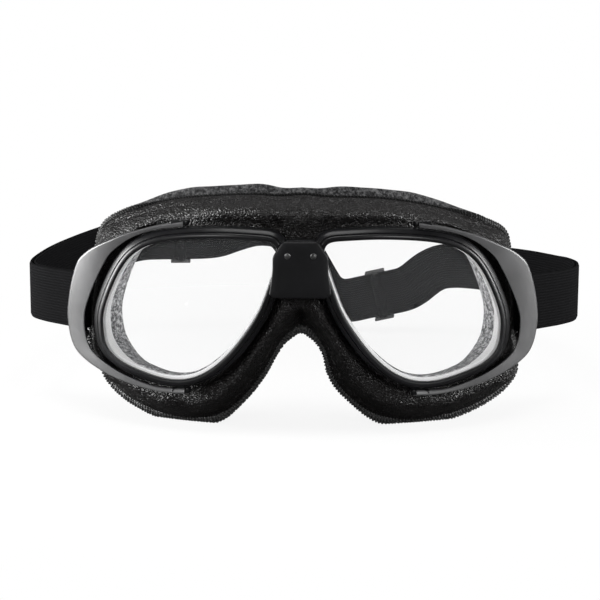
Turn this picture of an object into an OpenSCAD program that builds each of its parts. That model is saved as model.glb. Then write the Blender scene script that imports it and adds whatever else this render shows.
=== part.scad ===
/* [Lenses] */
// Width of each eye opening, across the front
opening_w = 77; // [72:0.5:82]
// Height of each eye opening
opening_h = 61.5; // [56:0.5:66]
// Least width between the two openings, over the nose
opening_gap = 19.2; // [18:0.2:24]
// Height of the openings' lower edge above the table
opening_z = 22.4; // [21:0.2:25]
// Thickness of the lens plate
lens_t = 1.8; // [1.2:0.1:2.4]
// How far the lens reaches under its retaining rim
lens_lap = 1.7; // [1:0.1:2]
// Thickness of the gasket behind the lens
gasket_t = 1.0; // [0.6:0.1:1.6]
// Wall of the gasket's collar inside the opening
collar_t = 0.9; // [0.6:0.1:1.2]
/* [Frame] */
// Radius of the face wrap, in plan
wrap_r = 145; // [135:1:165]
// Width of the rim round the opening
rim_w = 4.6; // [4.2:0.1:5.4]
// Width of the rim along the lower edge
rim_low_w = 3.5; // [3.3:0.1:4]
// Depth of the frame moulding, front to back
frame_d = 9; // [8:0.2:12]
// Width of the lens retaining rim
bezel_w = 2.5; // [2.2:0.1:2.8]
// How far the retaining rim stands proud of the frame
bezel_proud = 1.2; // [0.6:0.1:2]
// Depth of the retaining rim behind the frame's front
bezel_in = 1.5; // [1:0.1:2]
/* [Bridge] */
// Height of the bridge cover's top edge
bridge_top_z = 83.5; // [81:0.5:85]
// Height of the bridge cover's lower edge
bridge_low_z = 60; // [57:0.5:63]
// Width of the cover at its top edge
bridge_top_w = 15; // [12:0.5:16]
// Width of the cover at its widest
bridge_w = 23; // [20:0.5:24]
// Thickness of the cover plate
bridge_t = 1.7; // [1.2:0.1:2.4]
// Diameter of the cover screws' heads
bridge_head_d = 3; // [2.4:0.1:3.4]
// Distance between the two cover screws
bridge_screw_gap = 10.6; // [9:0.2:11]
/* [Padding] */
// Depth of the sewn edge behind the frame's front, at the middle
edge_d = 25; // [23:0.5:30]
// Depth of the face side behind the frame's front, at the middle
face_d = 34; // [32:0.5:40]
// Radius of the face side, in plan
face_r = 140; // [128:1:150]
// Thickness of the leather
leather_t = 1.4; // [1:0.1:2]
// Thickness of the fleece lining
fleece_t = 2.4; // [1.6:0.1:3.2]
// Radius of the overlocked edge
seam_r = 1.1; // [0.8:0.1:1.4]
// How far the fleece roll stands above the leather at the top
roll_out = 2.4; // [1:0.2:4]
// How far the lining leans inward at the temple
temple_lean = 5; // [3:0.5:6]
// Thickness of the carrier ring that clamps the padding
carrier_t = 1.5; // [1.2:0.1:2]
/* [Outriggers] */
// Distance of each hinge axis from the middle
hinge_x = 49.5; // [47:0.5:52]
// Depth of the hinge axis behind the frame's front surface
hinge_d = 5.4; // [5.2:0.1:6]
// Diameter of the hinge pins
pin_d = 1.9; // [1.6:0.1:2.2]
// Diameter of the outrigger's knuckles
knuckle_d = 5; // [4.4:0.1:5.4]
// Height of each knuckle
knuckle_h = 2.1; // [1.8:0.1:2.4]
// Thickness of the outrigger plate
outrigger_t = 2.8; // [2.2:0.1:3.2]
// Diameter of the strap bar
bar_d = 3; // [2.4:0.1:3.4]
/* [Strap] */
// Width of the elastic strap
strap_w = 25; // [20:0.5:25]
// Thickness of the strap
strap_t = 1.5; // [1:0.1:1.6]
// Height of the strap's middle where it leaves the outriggers
strap_z = 50.2; // [49:0.2:51]
// Length of each slider along the strap
slider_l = 11; // [9:0.5:13]
// Thickness of the slider's rails and side bars
slider_t = 1.8; // [1.4:0.1:2.2]
// Diameter of the slider's middle bar
slider_bar_d = 2.4; // [2:0.1:2.8]
/* [Clearances] */
// Gap between parts that are fitted by hand
fit = 0.1; // [0.05:0.05:0.2]
// Gap between curved faces that lie side by side
air = 0.3; // [0.2:0.05:0.5]
// Radial clearance of the hinge pins in the knuckles
pin_play = 0.06; // [0.03:0.01:0.1]
/* [Hidden] */
$fn = 48;
mid = 120.65;
lens_d = bezel_in + fit;
seat_d = lens_d + lens_t + gasket_t;
pad_d = frame_d + air;
carrier_d = pad_d + leather_t + air;
// Cutting shapes start this far before the frame and end this far behind it
before = 10;
beyond = 110;

// Depth of a surface that wraps round the face with radius r
function wrap(x, r = wrap_r) = r - sqrt(r * r - x * x);
function clamp(v, lo = 0, hi = 1) = min(max(v, lo), hi);
function unit(v) = v / norm(v);
function ease(t) = let(c = clamp(t)) c * c * (3 - 2 * c);

// Smooth curve through four neighbouring points
function curve(a, b, c, d, t) =
    0.5 * (2 * b + (c - a) * t + (2 * a - 5 * b + 4 * c - d) * t * t + (3 * b - a - 3 * c + d) * t * t * t);
function smooth_loop(k, n) = let(m = len(k))
    [for (i = [0:m - 1]) for (j = [0:n - 1])
        curve(k[(i + m - 1) % m], k[i], k[(i + 1) % m], k[(i + 2) % m], j / n)];
function smooth_path(k, n) = let(m = len(k) - 1)
    [for (i = [0:m - 1]) for (j = [0:n - (i < m - 1 ? 1 : 0)])
        curve(k[max(i - 1, 0)], k[i], k[i + 1], k[min(i + 2, m)], j / n)];
// Moves each point of a clockwise outline outwards
function outward(p, i) = let(m = len(p), t = unit(p[(i + 1) % m] - p[(i + m - 1) % m])) [-t.y, t.x];
function grown(p, d) = [for (i = [0:len(p) - 1]) p[i] + d * outward(p, i)];

// Eye opening, as shares of its width and height, clockwise from the nose's upper corner
opening_shape = [[0.003, 0.928], [0.035, 0.982], [0.135, 0.996], [0.317, 1], [0.525, 0.982],
    [0.68, 0.943], [0.79, 0.872], [0.869, 0.766], [0.94, 0.603], [0.992, 0.424], [0.997, 0.286],
    [0.973, 0.172], [0.9, 0.094], [0.784, 0.042], [0.629, 0.003], [0.499, 0.015], [0.388, 0.078],
    [0.284, 0.189], [0.187, 0.34], [0.103, 0.511], [0.038, 0.725], [0.009, 0.84]];
opening_keys = [for (p = opening_shape)
    [opening_gap / 2 + p.x * opening_w, opening_z + p.y * opening_h]];
opening = smooth_loop(opening_keys, 2);
function rim_width(z) = rim_low_w + (rim_w - rim_low_w) * ease((z - opening_z) / (0.3 * opening_h));
rim_outline = [for (i = [0:len(opening) - 1])
    opening[i] + rim_width(opening[i].y) * outward(opening, i)];

// A prism of an outline in the front view, through the whole depth
module prism(outline)
    translate([0, beyond, 0]) rotate([90, 0, 0]) linear_extrude(before + beyond) polygon(outline);
// All that lies behind a wrapped surface
module behind(d, r = wrap_r) translate([0, d + r, -before])
    cylinder(r = r, h = 2 * before + beyond, $fn = 180);
// A layer between two wrapped surfaces, cut to its children
module layer(d0, d1, r1 = wrap_r)
    intersection() { children(); difference() { behind(d0); behind(d1, r1); } }
module ring(outer, inner) difference() { prism(outer); prism(inner); }
module both_sides() { children(); mirror([1, 0, 0]) children(); }
// Moves the whole object so that its box is centred on the origin
module placed() translate([0, -mid, 0]) children();

bridge_shape = [[-0.32, 1], [0.32, 1], [0.5, 0.74], [0.5, 0.5], [0.56, 0.06], [0.48, 0], [-0.48, 0],
    [-0.56, 0.06], [-0.5, 0.5], [-0.5, 0.74]];
bridge_h = bridge_top_z - bridge_low_z;
cover_outline = [for (p = bridge_shape) [p.x * bridge_w, bridge_low_z + p.y * bridge_h]];
stem_w = 8.3;
web_outline = [for (p = bridge_shape) [p.x * bridge_w * 0.86, bridge_low_z + p.y * bridge_h]];
bridge_screw_z = bridge_low_z + 0.75 * bridge_h;
cover_d = -bezel_proud - air - bridge_t;
bridge_shank_d = 1.8;
web_front_d = 2;
bridge_bore_end = seat_d + 2;

hinge_y = wrap(hinge_x) + hinge_d;
function edge_z(top) = let(z = [for (p = rim_outline) if (abs(p.x - hinge_x) < 5) p.y])
    top ? max(z) : min(z);
hinge_top_z = edge_z(true) + air;
hinge_low_z = edge_z(false) - air;
pin_grip = 3.2;
head_h = 0.5;
head_over = 0.7;
boss_h = 1.9;
press = 0.02;

module boss_bores() for (s = [[hinge_top_z, 1], [hinge_low_z, -1]])
    translate([hinge_x, hinge_y, s[0] - s[1] * (pin_grip + air)])
        mirror([0, 0, s[1] > 0 ? 0 : 1]) cylinder(d = pin_d + press, h = pin_grip + 2 * air + boss_h);
module bosses() for (s = [[hinge_top_z, 1], [hinge_low_z, -1]])
    translate([hinge_x, hinge_y, s[0]]) mirror([0, 0, s[1] > 0 ? 1 : 0]) cylinder(d = knuckle_d, h = boss_h);

// Places of the screws that clamp the carrier, as steps round the opening
carrier_spots = [4, 9, 17, 25, 31, 37];
carrier_screw_d = 1.6;
carrier_grip = 3.6;
carrier_in = 0.5;
carrier_w = 3.9;
carrier_out = carrier_in + carrier_w;
screw_ring = grown(opening, carrier_screw_d + fit);
module carrier_holes(d, y_in, y_out) for (i = carrier_spots) let(p = screw_ring[i])
    translate([p.x, wrap(p.x) + y_in, p.y]) rotate([-90, 0, 0]) cylinder(d = d, h = y_out - y_in);

module frame() color("#202022") difference() {
    union() {
        both_sides() {
            layer(0, seat_d) ring(rim_outline, grown(opening, bezel_w + fit));
            layer(seat_d, frame_d) ring(rim_outline, opening);
            bosses();
        }
        layer(web_front_d, frame_d) prism(web_outline);
    }
    both_sides() {
        prism(opening);
        layer(-before / 2, seat_d) prism(grown(opening, bezel_w + fit));
        boss_bores();
        carrier_holes(carrier_screw_d, frame_d - carrier_grip, carrier_d);
    }
    bridge_bores(bridge_shank_d);
}
module bridge_bores(d) for (s = [-1, 1])
    translate([s * bridge_screw_gap / 2, -before, bridge_screw_z]) rotate([-90, 0, 0])
        cylinder(d = d, h = before + bridge_bore_end);

module bezel() color("#2a2a2d")
    layer(-bezel_proud, bezel_in) ring(grown(opening, bezel_w), opening);
module lens() color([0.85, 0.9, 0.92, 0.35])
    layer(lens_d, lens_d + lens_t) prism(grown(opening, lens_lap));
collar_r = 115;
collar_end_d = frame_d;
module lens_gasket() color("#d9dcdc") union() {
    layer(lens_d + lens_t, seat_d) ring(grown(opening, lens_lap), grown(opening, -collar_t));
    layer(seat_d - 0.1, collar_end_d, collar_r)
        ring(grown(opening, -fit), grown(opening, -collar_t));
}

module bridge_cover() color("#1c1c1e") difference() {
    union() {
        layer(cover_d, cover_d + bridge_t) prism(cover_outline);
        layer(cover_d + 0.5 * bridge_t, web_front_d) translate([-stem_w / 2, -before, bridge_low_z])
            cube([stem_w, before + beyond, bridge_h - bridge_t]);
    }
    bridge_bores(bridge_shank_d + 2 * fit);
    for (s = [-1, 1]) translate([s * bridge_screw_gap / 2, cover_d - 1, bridge_screw_z])
        rotate([-90, 0, 0]) cylinder(d = bridge_head_d + 2 * fit, h = 1 + bridge_head_h);
}
bridge_head_h = 0.9;
module bridge_screws() color("#55575b") for (s = [-1, 1])
    translate([s * bridge_screw_gap / 2, 0, bridge_screw_z]) rotate([-90, 0, 0]) {
        translate([0, 0, cover_d + fit]) cylinder(d = bridge_head_d, h = bridge_head_h - fit);
        translate([0, 0, cover_d + fit]) cylinder(d = bridge_shank_d, h = bridge_bore_end - cover_d - fit);
    }

module pad_carrier() color("#2b2b2e") difference() {
    union() {
        both_sides() layer(carrier_d, carrier_d + carrier_t)
            ring(grown(opening, carrier_out), grown(opening, carrier_in));
        layer(carrier_d, carrier_d + carrier_t) intersection() {
            prism(web_outline);
            translate([-bridge_w, -before, bridge_low_z + web_cut])
                cube([2 * bridge_w, before + beyond, bridge_h]);
        }
    }
    both_sides() {
        carrier_holes(carrier_screw_d + 2 * fit, frame_d, head_d);
        carrier_holes(screw_head_d + 2 * fit, head_d - fit, head_d + 2 * screw_head_h);
        prism(grown(opening, carrier_in));
    }
}
// The carrier's web ends this far above the cover's lower edge, clear of the leather over the nose
web_cut = 6.5;
screw_head_d = 2.4;
screw_head_h = 1;
head_d = carrier_d + carrier_t + air;
module carrier_screws() color("#8f9296") both_sides() {
    carrier_holes(carrier_screw_d - press, frame_d - carrier_grip + fit, head_d + screw_head_h);
    carrier_holes(screw_head_d, head_d, head_d + screw_head_h);
}

// The outlines of the padding and the outriggers are drawn round openings of these sizes,
// and stretch with them.
drawn_side = 86.6;
drawn_h = 61.5;
drawn_z = 22.4;
function stretched(p) = [
    p.x + clamp(p.x / drawn_side, -1, 2) * (opening_gap / 2 + opening_w - drawn_side),
    p.y + clamp((p.y - drawn_z) / drawn_h, 0, 2) * (opening_h - drawn_h)
        + clamp(p.y / drawn_z) * (opening_z - drawn_z)];
// Outline of the padding in the front view; points past the middle are held to the middle plane
skin_keys = [[-6, 100.3], [12, 100.8], [32, 100.2], [52, 98.2], [68, 94.8], [80, 90.6], [89.6, 83.5],
    [93, 70], [93.6, 52], [93.8, 36], [93.4, 22], [88.5, 12.2], [77.5, 4.8], [61, -0.5], [46, -1.6],
    [33, 2.2], [22.5, 11.4], [14, 22.5], [7.5, 34.5], [-3, 43.5], [-8, 62], [-8, 84]];
skin_order = [for (i = [0:len(opening_keys) - 1])
    stretched(skin_keys[(i + len(skin_keys) - 1) % len(skin_keys)])];
skin = smooth_loop(skin_order, 2);
columns = len(opening);

// 1 where the padding has a free edge, 0 where its halves meet behind the bridge
function free_edge(i) = let(p = skin[i])
    max(clamp(1 + p.x / 5), clamp((p.y - 88) / 10), clamp((50 - p.y) / 6));
function topness(i) = clamp((skin[i].y - 70) / 20) * free_edge(i);
// In column i of the padding: its reach, the depths of its skins and a point s outside the opening
function reach(i) = norm(skin[i] - opening[i]);
function column_at(i, s) = opening[i] + s * unit(skin[i] - opening[i]);
function pad_x(i, s) = clamp(column_at(i, s).x, 0, 100);
function pad_point(i, s, y, lean = 0) = let(p = column_at(i, s)) [max(p.x - lean, 0), y, max(p.y, 0)];
clamp_in = 3.1;
belly = 3.5;
function flat_to(i) = min(1.25 * (carrier_out + air), reach(i) - 1.4);
function past(i, s) = clamp((s - flat_to(i)) / (reach(i) - flat_to(i)));
function front_y(i, s) = wrap(pad_x(i, s)) + pad_d
    + (edge_d - belly - pad_d) * pow(past(i, s), 2.2) * free_edge(i);
function face_y(i, s) = face_d + wrap(pad_x(i, s), face_r);
function edge_y(i) = wrap(pad_x(i, reach(i))) + pad_d + (edge_d - pad_d) * free_edge(i);

edge_in = -1.5;
lining_in = 0.8;
leather_steps = [0, 0.3, 0.6, 0.85, 1];
function leather_s(i, k) = flat_to(i) + leather_steps[k] * (reach(i) - flat_to(i));
function leather_ring(i) = concat(
    [pad_point(i, clamp_in, front_y(i, clamp_in))],
    [for (k = [0:4]) let(s = leather_s(i, k)) pad_point(i, s, front_y(i, s))],
    [pad_point(i, reach(i) + edge_in, max(edge_y(i) - 0.8, front_y(i, reach(i)) + 0.4))],
    [for (k = [4:-1:0]) let(s = leather_s(i, k))
        pad_point(i, s - 0.9 * leather_steps[k], front_y(i, s) + leather_t)],
    [pad_point(i, clamp_in, front_y(i, clamp_in) + leather_t)]);
head_room = 1.9;
behind_carrier = carrier_d + carrier_t + head_room;
foam_steps = [0, 0.35, 0.7, 1];
foam_in = fleece_t + air + 0.9;
function foam_out(i) = max(reach(i) - 4.6, foam_in + 0.6);
function foam_s(i, k) = foam_in + foam_steps[k] * (foam_out(i) - foam_in);
function foam_front(i, s) = max(front_y(i, s + 1.3) + leather_t + 2 * air,
    s < 1.4 * carrier_out || skin[i].x < 8 ? wrap(pad_x(i, s)) + behind_carrier : 0);
function foam_ring(i) = concat(
    [for (k = [0:3]) let(s = foam_s(i, k)) pad_point(i, s, foam_front(i, s))],
    [for (k = [3:-1:0]) let(s = foam_s(i, k))
        pad_point(i, s, max(face_y(i, s) - fleece_t - 2.3, foam_front(i, s) + 0.8))]);
function lining_y(i) = let(x = opening[i].x)
    behind_carrier - head_room + max(wrap(x, collar_r), wrap(x) + head_room);
function fleece_ring(i) = let(l = reach(i), e = max(edge_y(i) + 2.4, wrap(pad_x(i, l)) + behind_carrier),
    f = face_y(i, l * 0.95), r = roll_out * topness(i), g = lining_y(i),
    n = temple_lean * clamp((opening[i].x - 50) / 36)) [
    pad_point(i, l + edge_in - 0.4, e),
    pad_point(i, l + r - 0.5, e + 1),
    pad_point(i, l + r, e + 0.35 * (f - e)),
    pad_point(i, l + r - 1.4, e + 0.7 * (f - e)),
    pad_point(i, 0.9 * l, f - 0.5),
    pad_point(i, 0.7 * l, face_y(i, 0.7 * l) + 0.6, 0.2 * n),
    pad_point(i, 0.35 * l, face_y(i, 0.35 * l) + 0.4, 0.6 * n),
    pad_point(i, lining_in, face_y(i, lining_in) - 3, n),
    pad_point(i, lining_in, g),
    pad_point(i, lining_in + fleece_t, g),
    pad_point(i, lining_in + fleece_t, face_y(i, lining_in) - 4.5, 0.9 * n),
    pad_point(i, 0.35 * l + 1.2, face_y(i, 0.35 * l + 1.2) - fleece_t, 0.5 * n),
    pad_point(i, max(l - 3.4, foam_out(i) + 0.4), max(e + 1, face_y(i, l - 3.4) - fleece_t))];

// Closes a row of section rings into a loop
function loop_faces(n, m) = [for (i = [0:n - 1]) for (j = [0:m - 1])
    let(a = i * m + j, b = i * m + (j + 1) % m, o = ((i + 1) % n - i) * m, c = b + o, d = a + o)
        each [[a, b, c], [a, c, d]]];
// One closed skin of both halves, open where they meet on the middle plane
module pad_whole(rings) {
    half = [for (r = rings) each r];
    faces = [for (f = loop_faces(len(rings), len(rings[0])))
        if (half[f[0]].x + half[f[1]].x + half[f[2]].x > 0.001) f];
    n = len(half);
    polyhedron(concat(half, [for (p = half) [-p.x, p.y, p.z]]),
        concat(faces, [for (f = faces) [for (k = [2:-1:0]) half[f[k]].x < 0.0005 ? f[k] : f[k] + n]]));
}
module closed_loop(rings) polyhedron([for (r = rings) each r], loop_faces(len(rings), len(rings[0])));

module leather_cover() color("#17171a") pad_whole([for (i = [0:columns - 1]) leather_ring(i)]);
module foam_pad() color("#4a4b50") pad_whole([for (i = [0:columns - 1]) foam_ring(i)]);
module fleece_lining() color("#6f7074") pad_whole([for (i = [0:columns - 1]) fleece_ring(i)]);

// The overlocked edge, one closed rope round the padding
seam_free = [for (i = [0:columns - 1]) let(k = (i + 2) % columns) if (skin[k].x > 0.4) k];
function seam_point(i) = pad_point(i, reach(i) + edge_in + 0.1, edge_y(i) + seam_r * 0.6);
seam_right = [for (i = seam_free) seam_point(i)];
seam_route = concat(seam_right,
    [for (k = [len(seam_right) - 1:-1:0]) let(p = seam_right[k]) [-p.x, p.y, p.z]]);
function tube_ring(route, i, r, sides) = let(n = len(route),
    t = unit(route[(i + 1) % n] - route[(i + n - 1) % n]),
    u = unit(cross(t, [0, 1, 0])), w = cross(u, t))
    [for (k = [0:sides - 1]) let(q = route[i] + r * (cos(360 * k / sides) * u + sin(360 * k / sides) * w))
        [q.x, q.y, max(q.z, 0)]];
module overlock_seam() color("#0e0e10")
    closed_loop([for (i = [0:len(seam_route) - 1]) tube_ring(seam_route, i, seam_r, 6)]);

// Outrigger in the front view, clockwise: outer edge from the upper tip, then the inner edge back
arm_keys = [[0, 90.2], [10, 88.4], [18, 86.1], [26.5, 83.2], [33.5, 80], [40.5, 76.6], [46, 72.8],
    [49.8, 68.3], [53.3, 58], [55.2, 47], [55.1, 41], [53.9, 34.5], [51.5, 29.6], [47.5, 26.2],
    [41.5, 23.1], [33.5, 20.2], [24, 18], [12.5, 16.4], [5.5, 16.2], [0, 16.5], [0, 18.6], [11, 18.2],
    [19.2, 19.5], [28.9, 22.3], [34.9, 24.9], [40.5, 28], [44.1, 31.4], [45.9, 36], [46.5, 42],
    [45.8, 48.5], [41.5, 59.5], [36, 70], [33.1, 74.2], [29.1, 77.8], [24.5, 81.1], [18.1, 84.2],
    [10, 86.6], [0, 88.1]];
drawn_hinge_x = 49.5;
drawn_reach = max([for (p = arm_keys) p.x]);
arm_reach = stretched([drawn_hinge_x + drawn_reach, 0]).x - hinge_x;
arm_outline = [for (p = arm_keys) [hinge_x + p.x * arm_reach / drawn_reach, stretched([0, p.y]).y]];
arm_d = 0.6;
bar_x = stretched([98, 0]).x;
bar_back = 12;
bar_y = wrap(bar_x) + bar_back;
bar_play = 1.5;
bar_len = strap_w + 2 * bar_play;
lug_h = 2.4;
lug_w = 4;
knuckle_low = hinge_top_z + air;
knuckle_top = hinge_low_z - air - knuckle_h;
knuckle_arm = 5.5;
knuckle_in = 0.8;
lug_in = 1;
lug_past = 2.2;
bar_end = 0.5;
module knuckles() for (z = [knuckle_low, knuckle_top]) translate([hinge_x, hinge_y, z]) {
    cylinder(d = knuckle_d, h = knuckle_h);
    translate([0, wrap(hinge_x + 2) + arm_d + knuckle_in - hinge_y, 0])
        cube([knuckle_arm, hinge_d - arm_d - knuckle_in, knuckle_h]);
}
module outrigger() color("#2e2e31") difference() {
    union() {
        layer(arm_d, arm_d + outrigger_t) prism(arm_outline);
        knuckles();
        for (s = [-1, 1]) translate([bar_x - lug_w / 2, wrap(bar_x) + arm_d + lug_in,
            strap_z + s * (bar_len + lug_h) / 2 - lug_h / 2])
            cube([lug_w, bar_y + lug_past - wrap(bar_x) - arm_d - lug_in, lug_h]);
        translate([bar_x, bar_y, strap_z - bar_len / 2 - bar_end])
            cylinder(d = bar_d, h = bar_len + 2 * bar_end);
    }
    translate([hinge_x, hinge_y, -before]) cylinder(d = pin_d + 2 * pin_play, h = before + beyond);
}
module hinge_pins() color("#7c7f84") for (s = [1, -1]) {
    boss = s > 0 ? hinge_top_z : hinge_low_z;
    head = s > 0 ? knuckle_low + knuckle_h + pin_play : knuckle_top - pin_play;
    translate([hinge_x, hinge_y, min(boss - s * pin_grip, head)])
        cylinder(d = pin_d, h = abs(head - boss + s * pin_grip));
    translate([hinge_x, hinge_y, s > 0 ? head : head - head_h])
        cylinder(d = pin_d + 2 * head_over, h = head_h);
}

// The loop round the strap bar, and the way the strap leaves it, in plan
turn_play = 0.15;
loop_r = bar_d / 2 + turn_play + strap_t / 2;
leave_angle = 40;
leave_run = 12;
// The loop's solid stops this many degrees short of the plies
loop_cut = 2;
leave_dir = [cos(leave_angle), sin(leave_angle)];
loop_end = [bar_x + loop_r * leave_dir.y, bar_y - loop_r * leave_dir.x, 0];
leave = [loop_end.x + leave_run * leave_dir.x, loop_end.y + leave_run * leave_dir.y, 0];
// Route of the strap's middle line. The third number is the height over the stretch at the outriggers.
right_side = [loop_end, leave, [118.5, 65.2, 0], [125.7, 76, 0]];
cut = [128.6, 92, 0];
right_back = [
    [128.6, 120, -2], [127.8, 148, -4.9], [125.6, 175, -7.4], [121, 197, -9], [113, 213, -9.8],
    [103, 223.5, -10], [92, 230.2, -9.8], [83.5, 234, -10], [75.8, 236.7, -11.2], [69.8, 238.2, -14],
    [65, 239, -17.6], [60.2, 239.6, -21.6], [54.2, 240.22, -24.8], [42.2, 241.02, -27.6],
    [36.2, 241.42, -29], [30.2, 241.82, -30.4]];
left_back = [
    [-128.6, 120, 0], [-127.5, 148, -0.4], [-125, 175, -0.8], [-121, 197, -0.6], [-114, 215, 0.6],
    [-104.5, 228, 2.6], [-94, 235.51, 4.3], [-83, 236.41, 4.8], [-73.2, 237.2, 4.8],
    [-61, 238.19, 4.8], [-51.5, 239, 5.7], [-43, 239.65, 8.5], [-34.4, 240.3, 11.1],
    [-28.6, 240.9, 12], [-22.8, 241, 12], [-17.1, 241.33, 11], [-12, 241.57, 8], [-8.4, 241.72, 3.6],
    [-5.4, 241.83, -1.5], [-2.5, 241.92, -6.6], [0.4, 242.01, -11.6], [3.3, 242.1, -16.7],
    [6.2, 242.18, -21.7], [9.5, 242.27, -26.6], [14.1, 242.4, -30.1], [19.6, 242.34, -31.8],
    [25.4, 242.14, -31.5]];
function reversed(r) = [for (i = [len(r) - 1:-1:0]) r[i]];
function flipped(r) = [for (p = r) [-p.x, p.y, p.z]];
half_keys = concat(right_side, [cut]);
strap_keys = concat(flipped(half_keys), left_back, reversed(concat(half_keys, right_back)));
strap_steps = 2;
strap_route = smooth_path([for (p = strap_keys) p + [0, 0, strap_z]], strap_steps);
route_end = len(strap_route) - 1;
cut_left = strap_steps * len(right_side);
cut_right = route_end - cut_left;
// The route's step at x behind the head
function step_at(x) = [for (i = [cut_left:cut_right])
    if (strap_route[i].y > slider_spots[0].y / 2 && abs(strap_route[i].x - x) < 0.01) i][0];
ply_gap = strap_t + air;
// How far the inner ply lies from the outer one: the loop's width at the bar, then side by side
function ply_off(i) = ply_gap + (2 * loop_r - ply_gap) * pow(clamp(1 - min(i, route_end - i) / cut_left), 3);
function route_tangent(i) = unit(strap_route[min(i + 1, route_end)] - strap_route[max(i - 1, 0)]);
// Flat strap round the route, its width square to it; off is the distance towards the head
function strap_ring(i, off) = let(t = route_tangent(i), n = unit([t.y, -t.x, 0]), w = cross(t, n),
    h = strap_w / 2, e = strap_t / 2)
    [for (q = [[-e, -h], [e, -h], [e, h], [-e, h]])
        let(p = strap_route[i] + (q.x + off) * n - q.y * w) [p.x, p.y, max(p.z, 0)]];
function open_faces(n, m) = concat([[for (j = [0:m - 1]) j]],
    [for (i = [0:n - 2]) for (j = [0:m - 1]) let(a = i * m + j, b = i * m + (j + 1) % m)
        each [[b, a, b + m], [b + m, a, a + m]]], [[for (j = [m - 1:-1:0]) (n - 1) * m + j]]);
module webbing(i0, i1, inner = false)
    polyhedron([for (i = [i0:i1]) each strap_ring(i, inner ? ply_off(i) : 0)], open_faces(i1 - i0 + 1, 4));
module strap_back() color("#121215") webbing(cut_left, cut_right);
module strap_side_left() color("#15151a") {
    webbing(0, cut_left);
    webbing(0, cut_left, true);
}
module strap_side_right() color("#15151a") {
    webbing(cut_right, route_end);
    webbing(cut_right, route_end, true);
}
module strap_loop() color("#15151a") translate([bar_x, bar_y, strap_z - strap_w / 2])
    rotate([0, 0, leave_angle + 90 + loop_cut]) rotate_extrude(angle = 180 - 2 * loop_cut)
        translate([loop_r - strap_t / 2, 0]) square([strap_t, strap_w]);

// Sliders: route point, and how the slider's bars stand beside the strap
slider_spots = [[-72, 237.3, 4.8], [41, 241.1, -27.9]];
slider_next = [[-61, 238.19, 4.8], [53, 240.3, -25.1]];
// Where the adjusting ply runs into the turn sewn round the slider's bar
turn_spots = [-73.2, 42.2];
slider_bar_off = strap_t / 2 + air + slider_bar_d / 2 + turn_play + strap_t;
rail_play = 0.5;
rail_in = strap_w / 2 + rail_play;
rail_lap = 0.2;
module at_slider(k) {
    a = slider_spots[k];
    b = slider_next[k];
    d = b - a;
    translate([a.x, a.y, a.z + strap_z]) rotate([0, -atan2(d.z, norm([d.x, d.y])), atan2(d.y, d.x)])
        children();
}
module slider_body() {
    side_y = strap_t / 2 + air;
    low_y = -slider_bar_off - slider_bar_d / 2;
    for (s = [-1, 1]) {
        translate([s * (slider_l - slider_t) / 2 - slider_t / 2, side_y, -rail_in - rail_lap])
            cube([slider_t, slider_t, 2 * (rail_in + rail_lap)]);
        translate([-slider_l / 2, low_y, s > 0 ? rail_in : -rail_in - slider_t])
            cube([slider_l, side_y + slider_t - low_y, slider_t]);
    }
    translate([0, -slider_bar_off, -rail_in - rail_lap])
        cylinder(d = slider_bar_d, h = 2 * (rail_in + rail_lap));
}
module slider_left() color("#1f1f22") at_slider(0) slider_body();
module slider_right() color("#1f1f22") at_slider(1) slider_body();
// The adjusting ply turns round the slider's bar. side is 1 where it arrives along the route,
// and -1 where it leaves it.
turn_r = slider_bar_d / 2 + turn_play + strap_t / 2;
turn_angle = 288;
turn_steps = 12;
function turn_ring(k, side, a) = let(t = unit(slider_next[k] - slider_spots[k]), n = unit([t.y, -t.x, 0]),
    w = cross(t, n), out = -cos(a) * n + side * sin(a) * t,
    c = slider_spots[k] + [0, 0, strap_z] + slider_bar_off * n)
    [for (q = [[-1, -1], [1, -1], [1, 1], [-1, 1]])
        c + (turn_r - q.x * strap_t / 2) * out - q.y * strap_w / 2 * w];
function turn(k, side) = [for (j = [0:turn_steps])
    turn_ring(k, side, turn_angle * (side > 0 ? j : turn_steps - j) / turn_steps)];
function inner_ply(i0, i1) = [for (i = [i0:i1]) strap_ring(i, ply_off(i))];
module swept(rings) polyhedron([for (r = rings) each r], open_faces(len(rings), 4));
module strap_tail_left() color("#15151a")
    swept(concat(inner_ply(cut_left, step_at(turn_spots[0])), turn(0, 1)));
module strap_tail_right() color("#15151a")
    swept(concat(turn(1, -1), inner_ply(step_at(turn_spots[1]), cut_right)));

module left() mirror([1, 0, 0]) children();
placed() frame();
placed() left() bezel();  // bezel_left
placed() bezel();  // bezel_right
placed() left() lens();  // lens_left
placed() lens();  // lens_right
placed() left() lens_gasket();  // lens_gasket_left
placed() lens_gasket();  // lens_gasket_right
placed() bridge_cover();
placed() bridge_screws();
placed() pad_carrier();
placed() carrier_screws();
placed() leather_cover();
placed() foam_pad();
placed() fleece_lining();
placed() overlock_seam();
placed() left() outrigger();  // outrigger_left
placed() outrigger();  // outrigger_right
placed() left() hinge_pins();  // hinge_pins_left
placed() hinge_pins();  // hinge_pins_right
placed() strap_back();
placed() strap_side_left();
placed() strap_side_right();
placed() left() strap_loop();  // strap_loop_left
placed() strap_loop();  // strap_loop_right
placed() strap_tail_left();
placed() strap_tail_right();
placed() slider_left();
placed() slider_right();
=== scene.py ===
# %% [markdown]
# Riding goggles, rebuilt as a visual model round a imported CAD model: two curved lenses in a wrapped
# frame, a leather cushion lined with fleece, C-shaped outriggers on upright hinges, and an elastic
# strap with two sliders. The CAD model is the fixed frame. Each visible piece is worked out in its
# millimetres, with the frame's front at Y = 0, and `place` then moves it into the shared frame.

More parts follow.
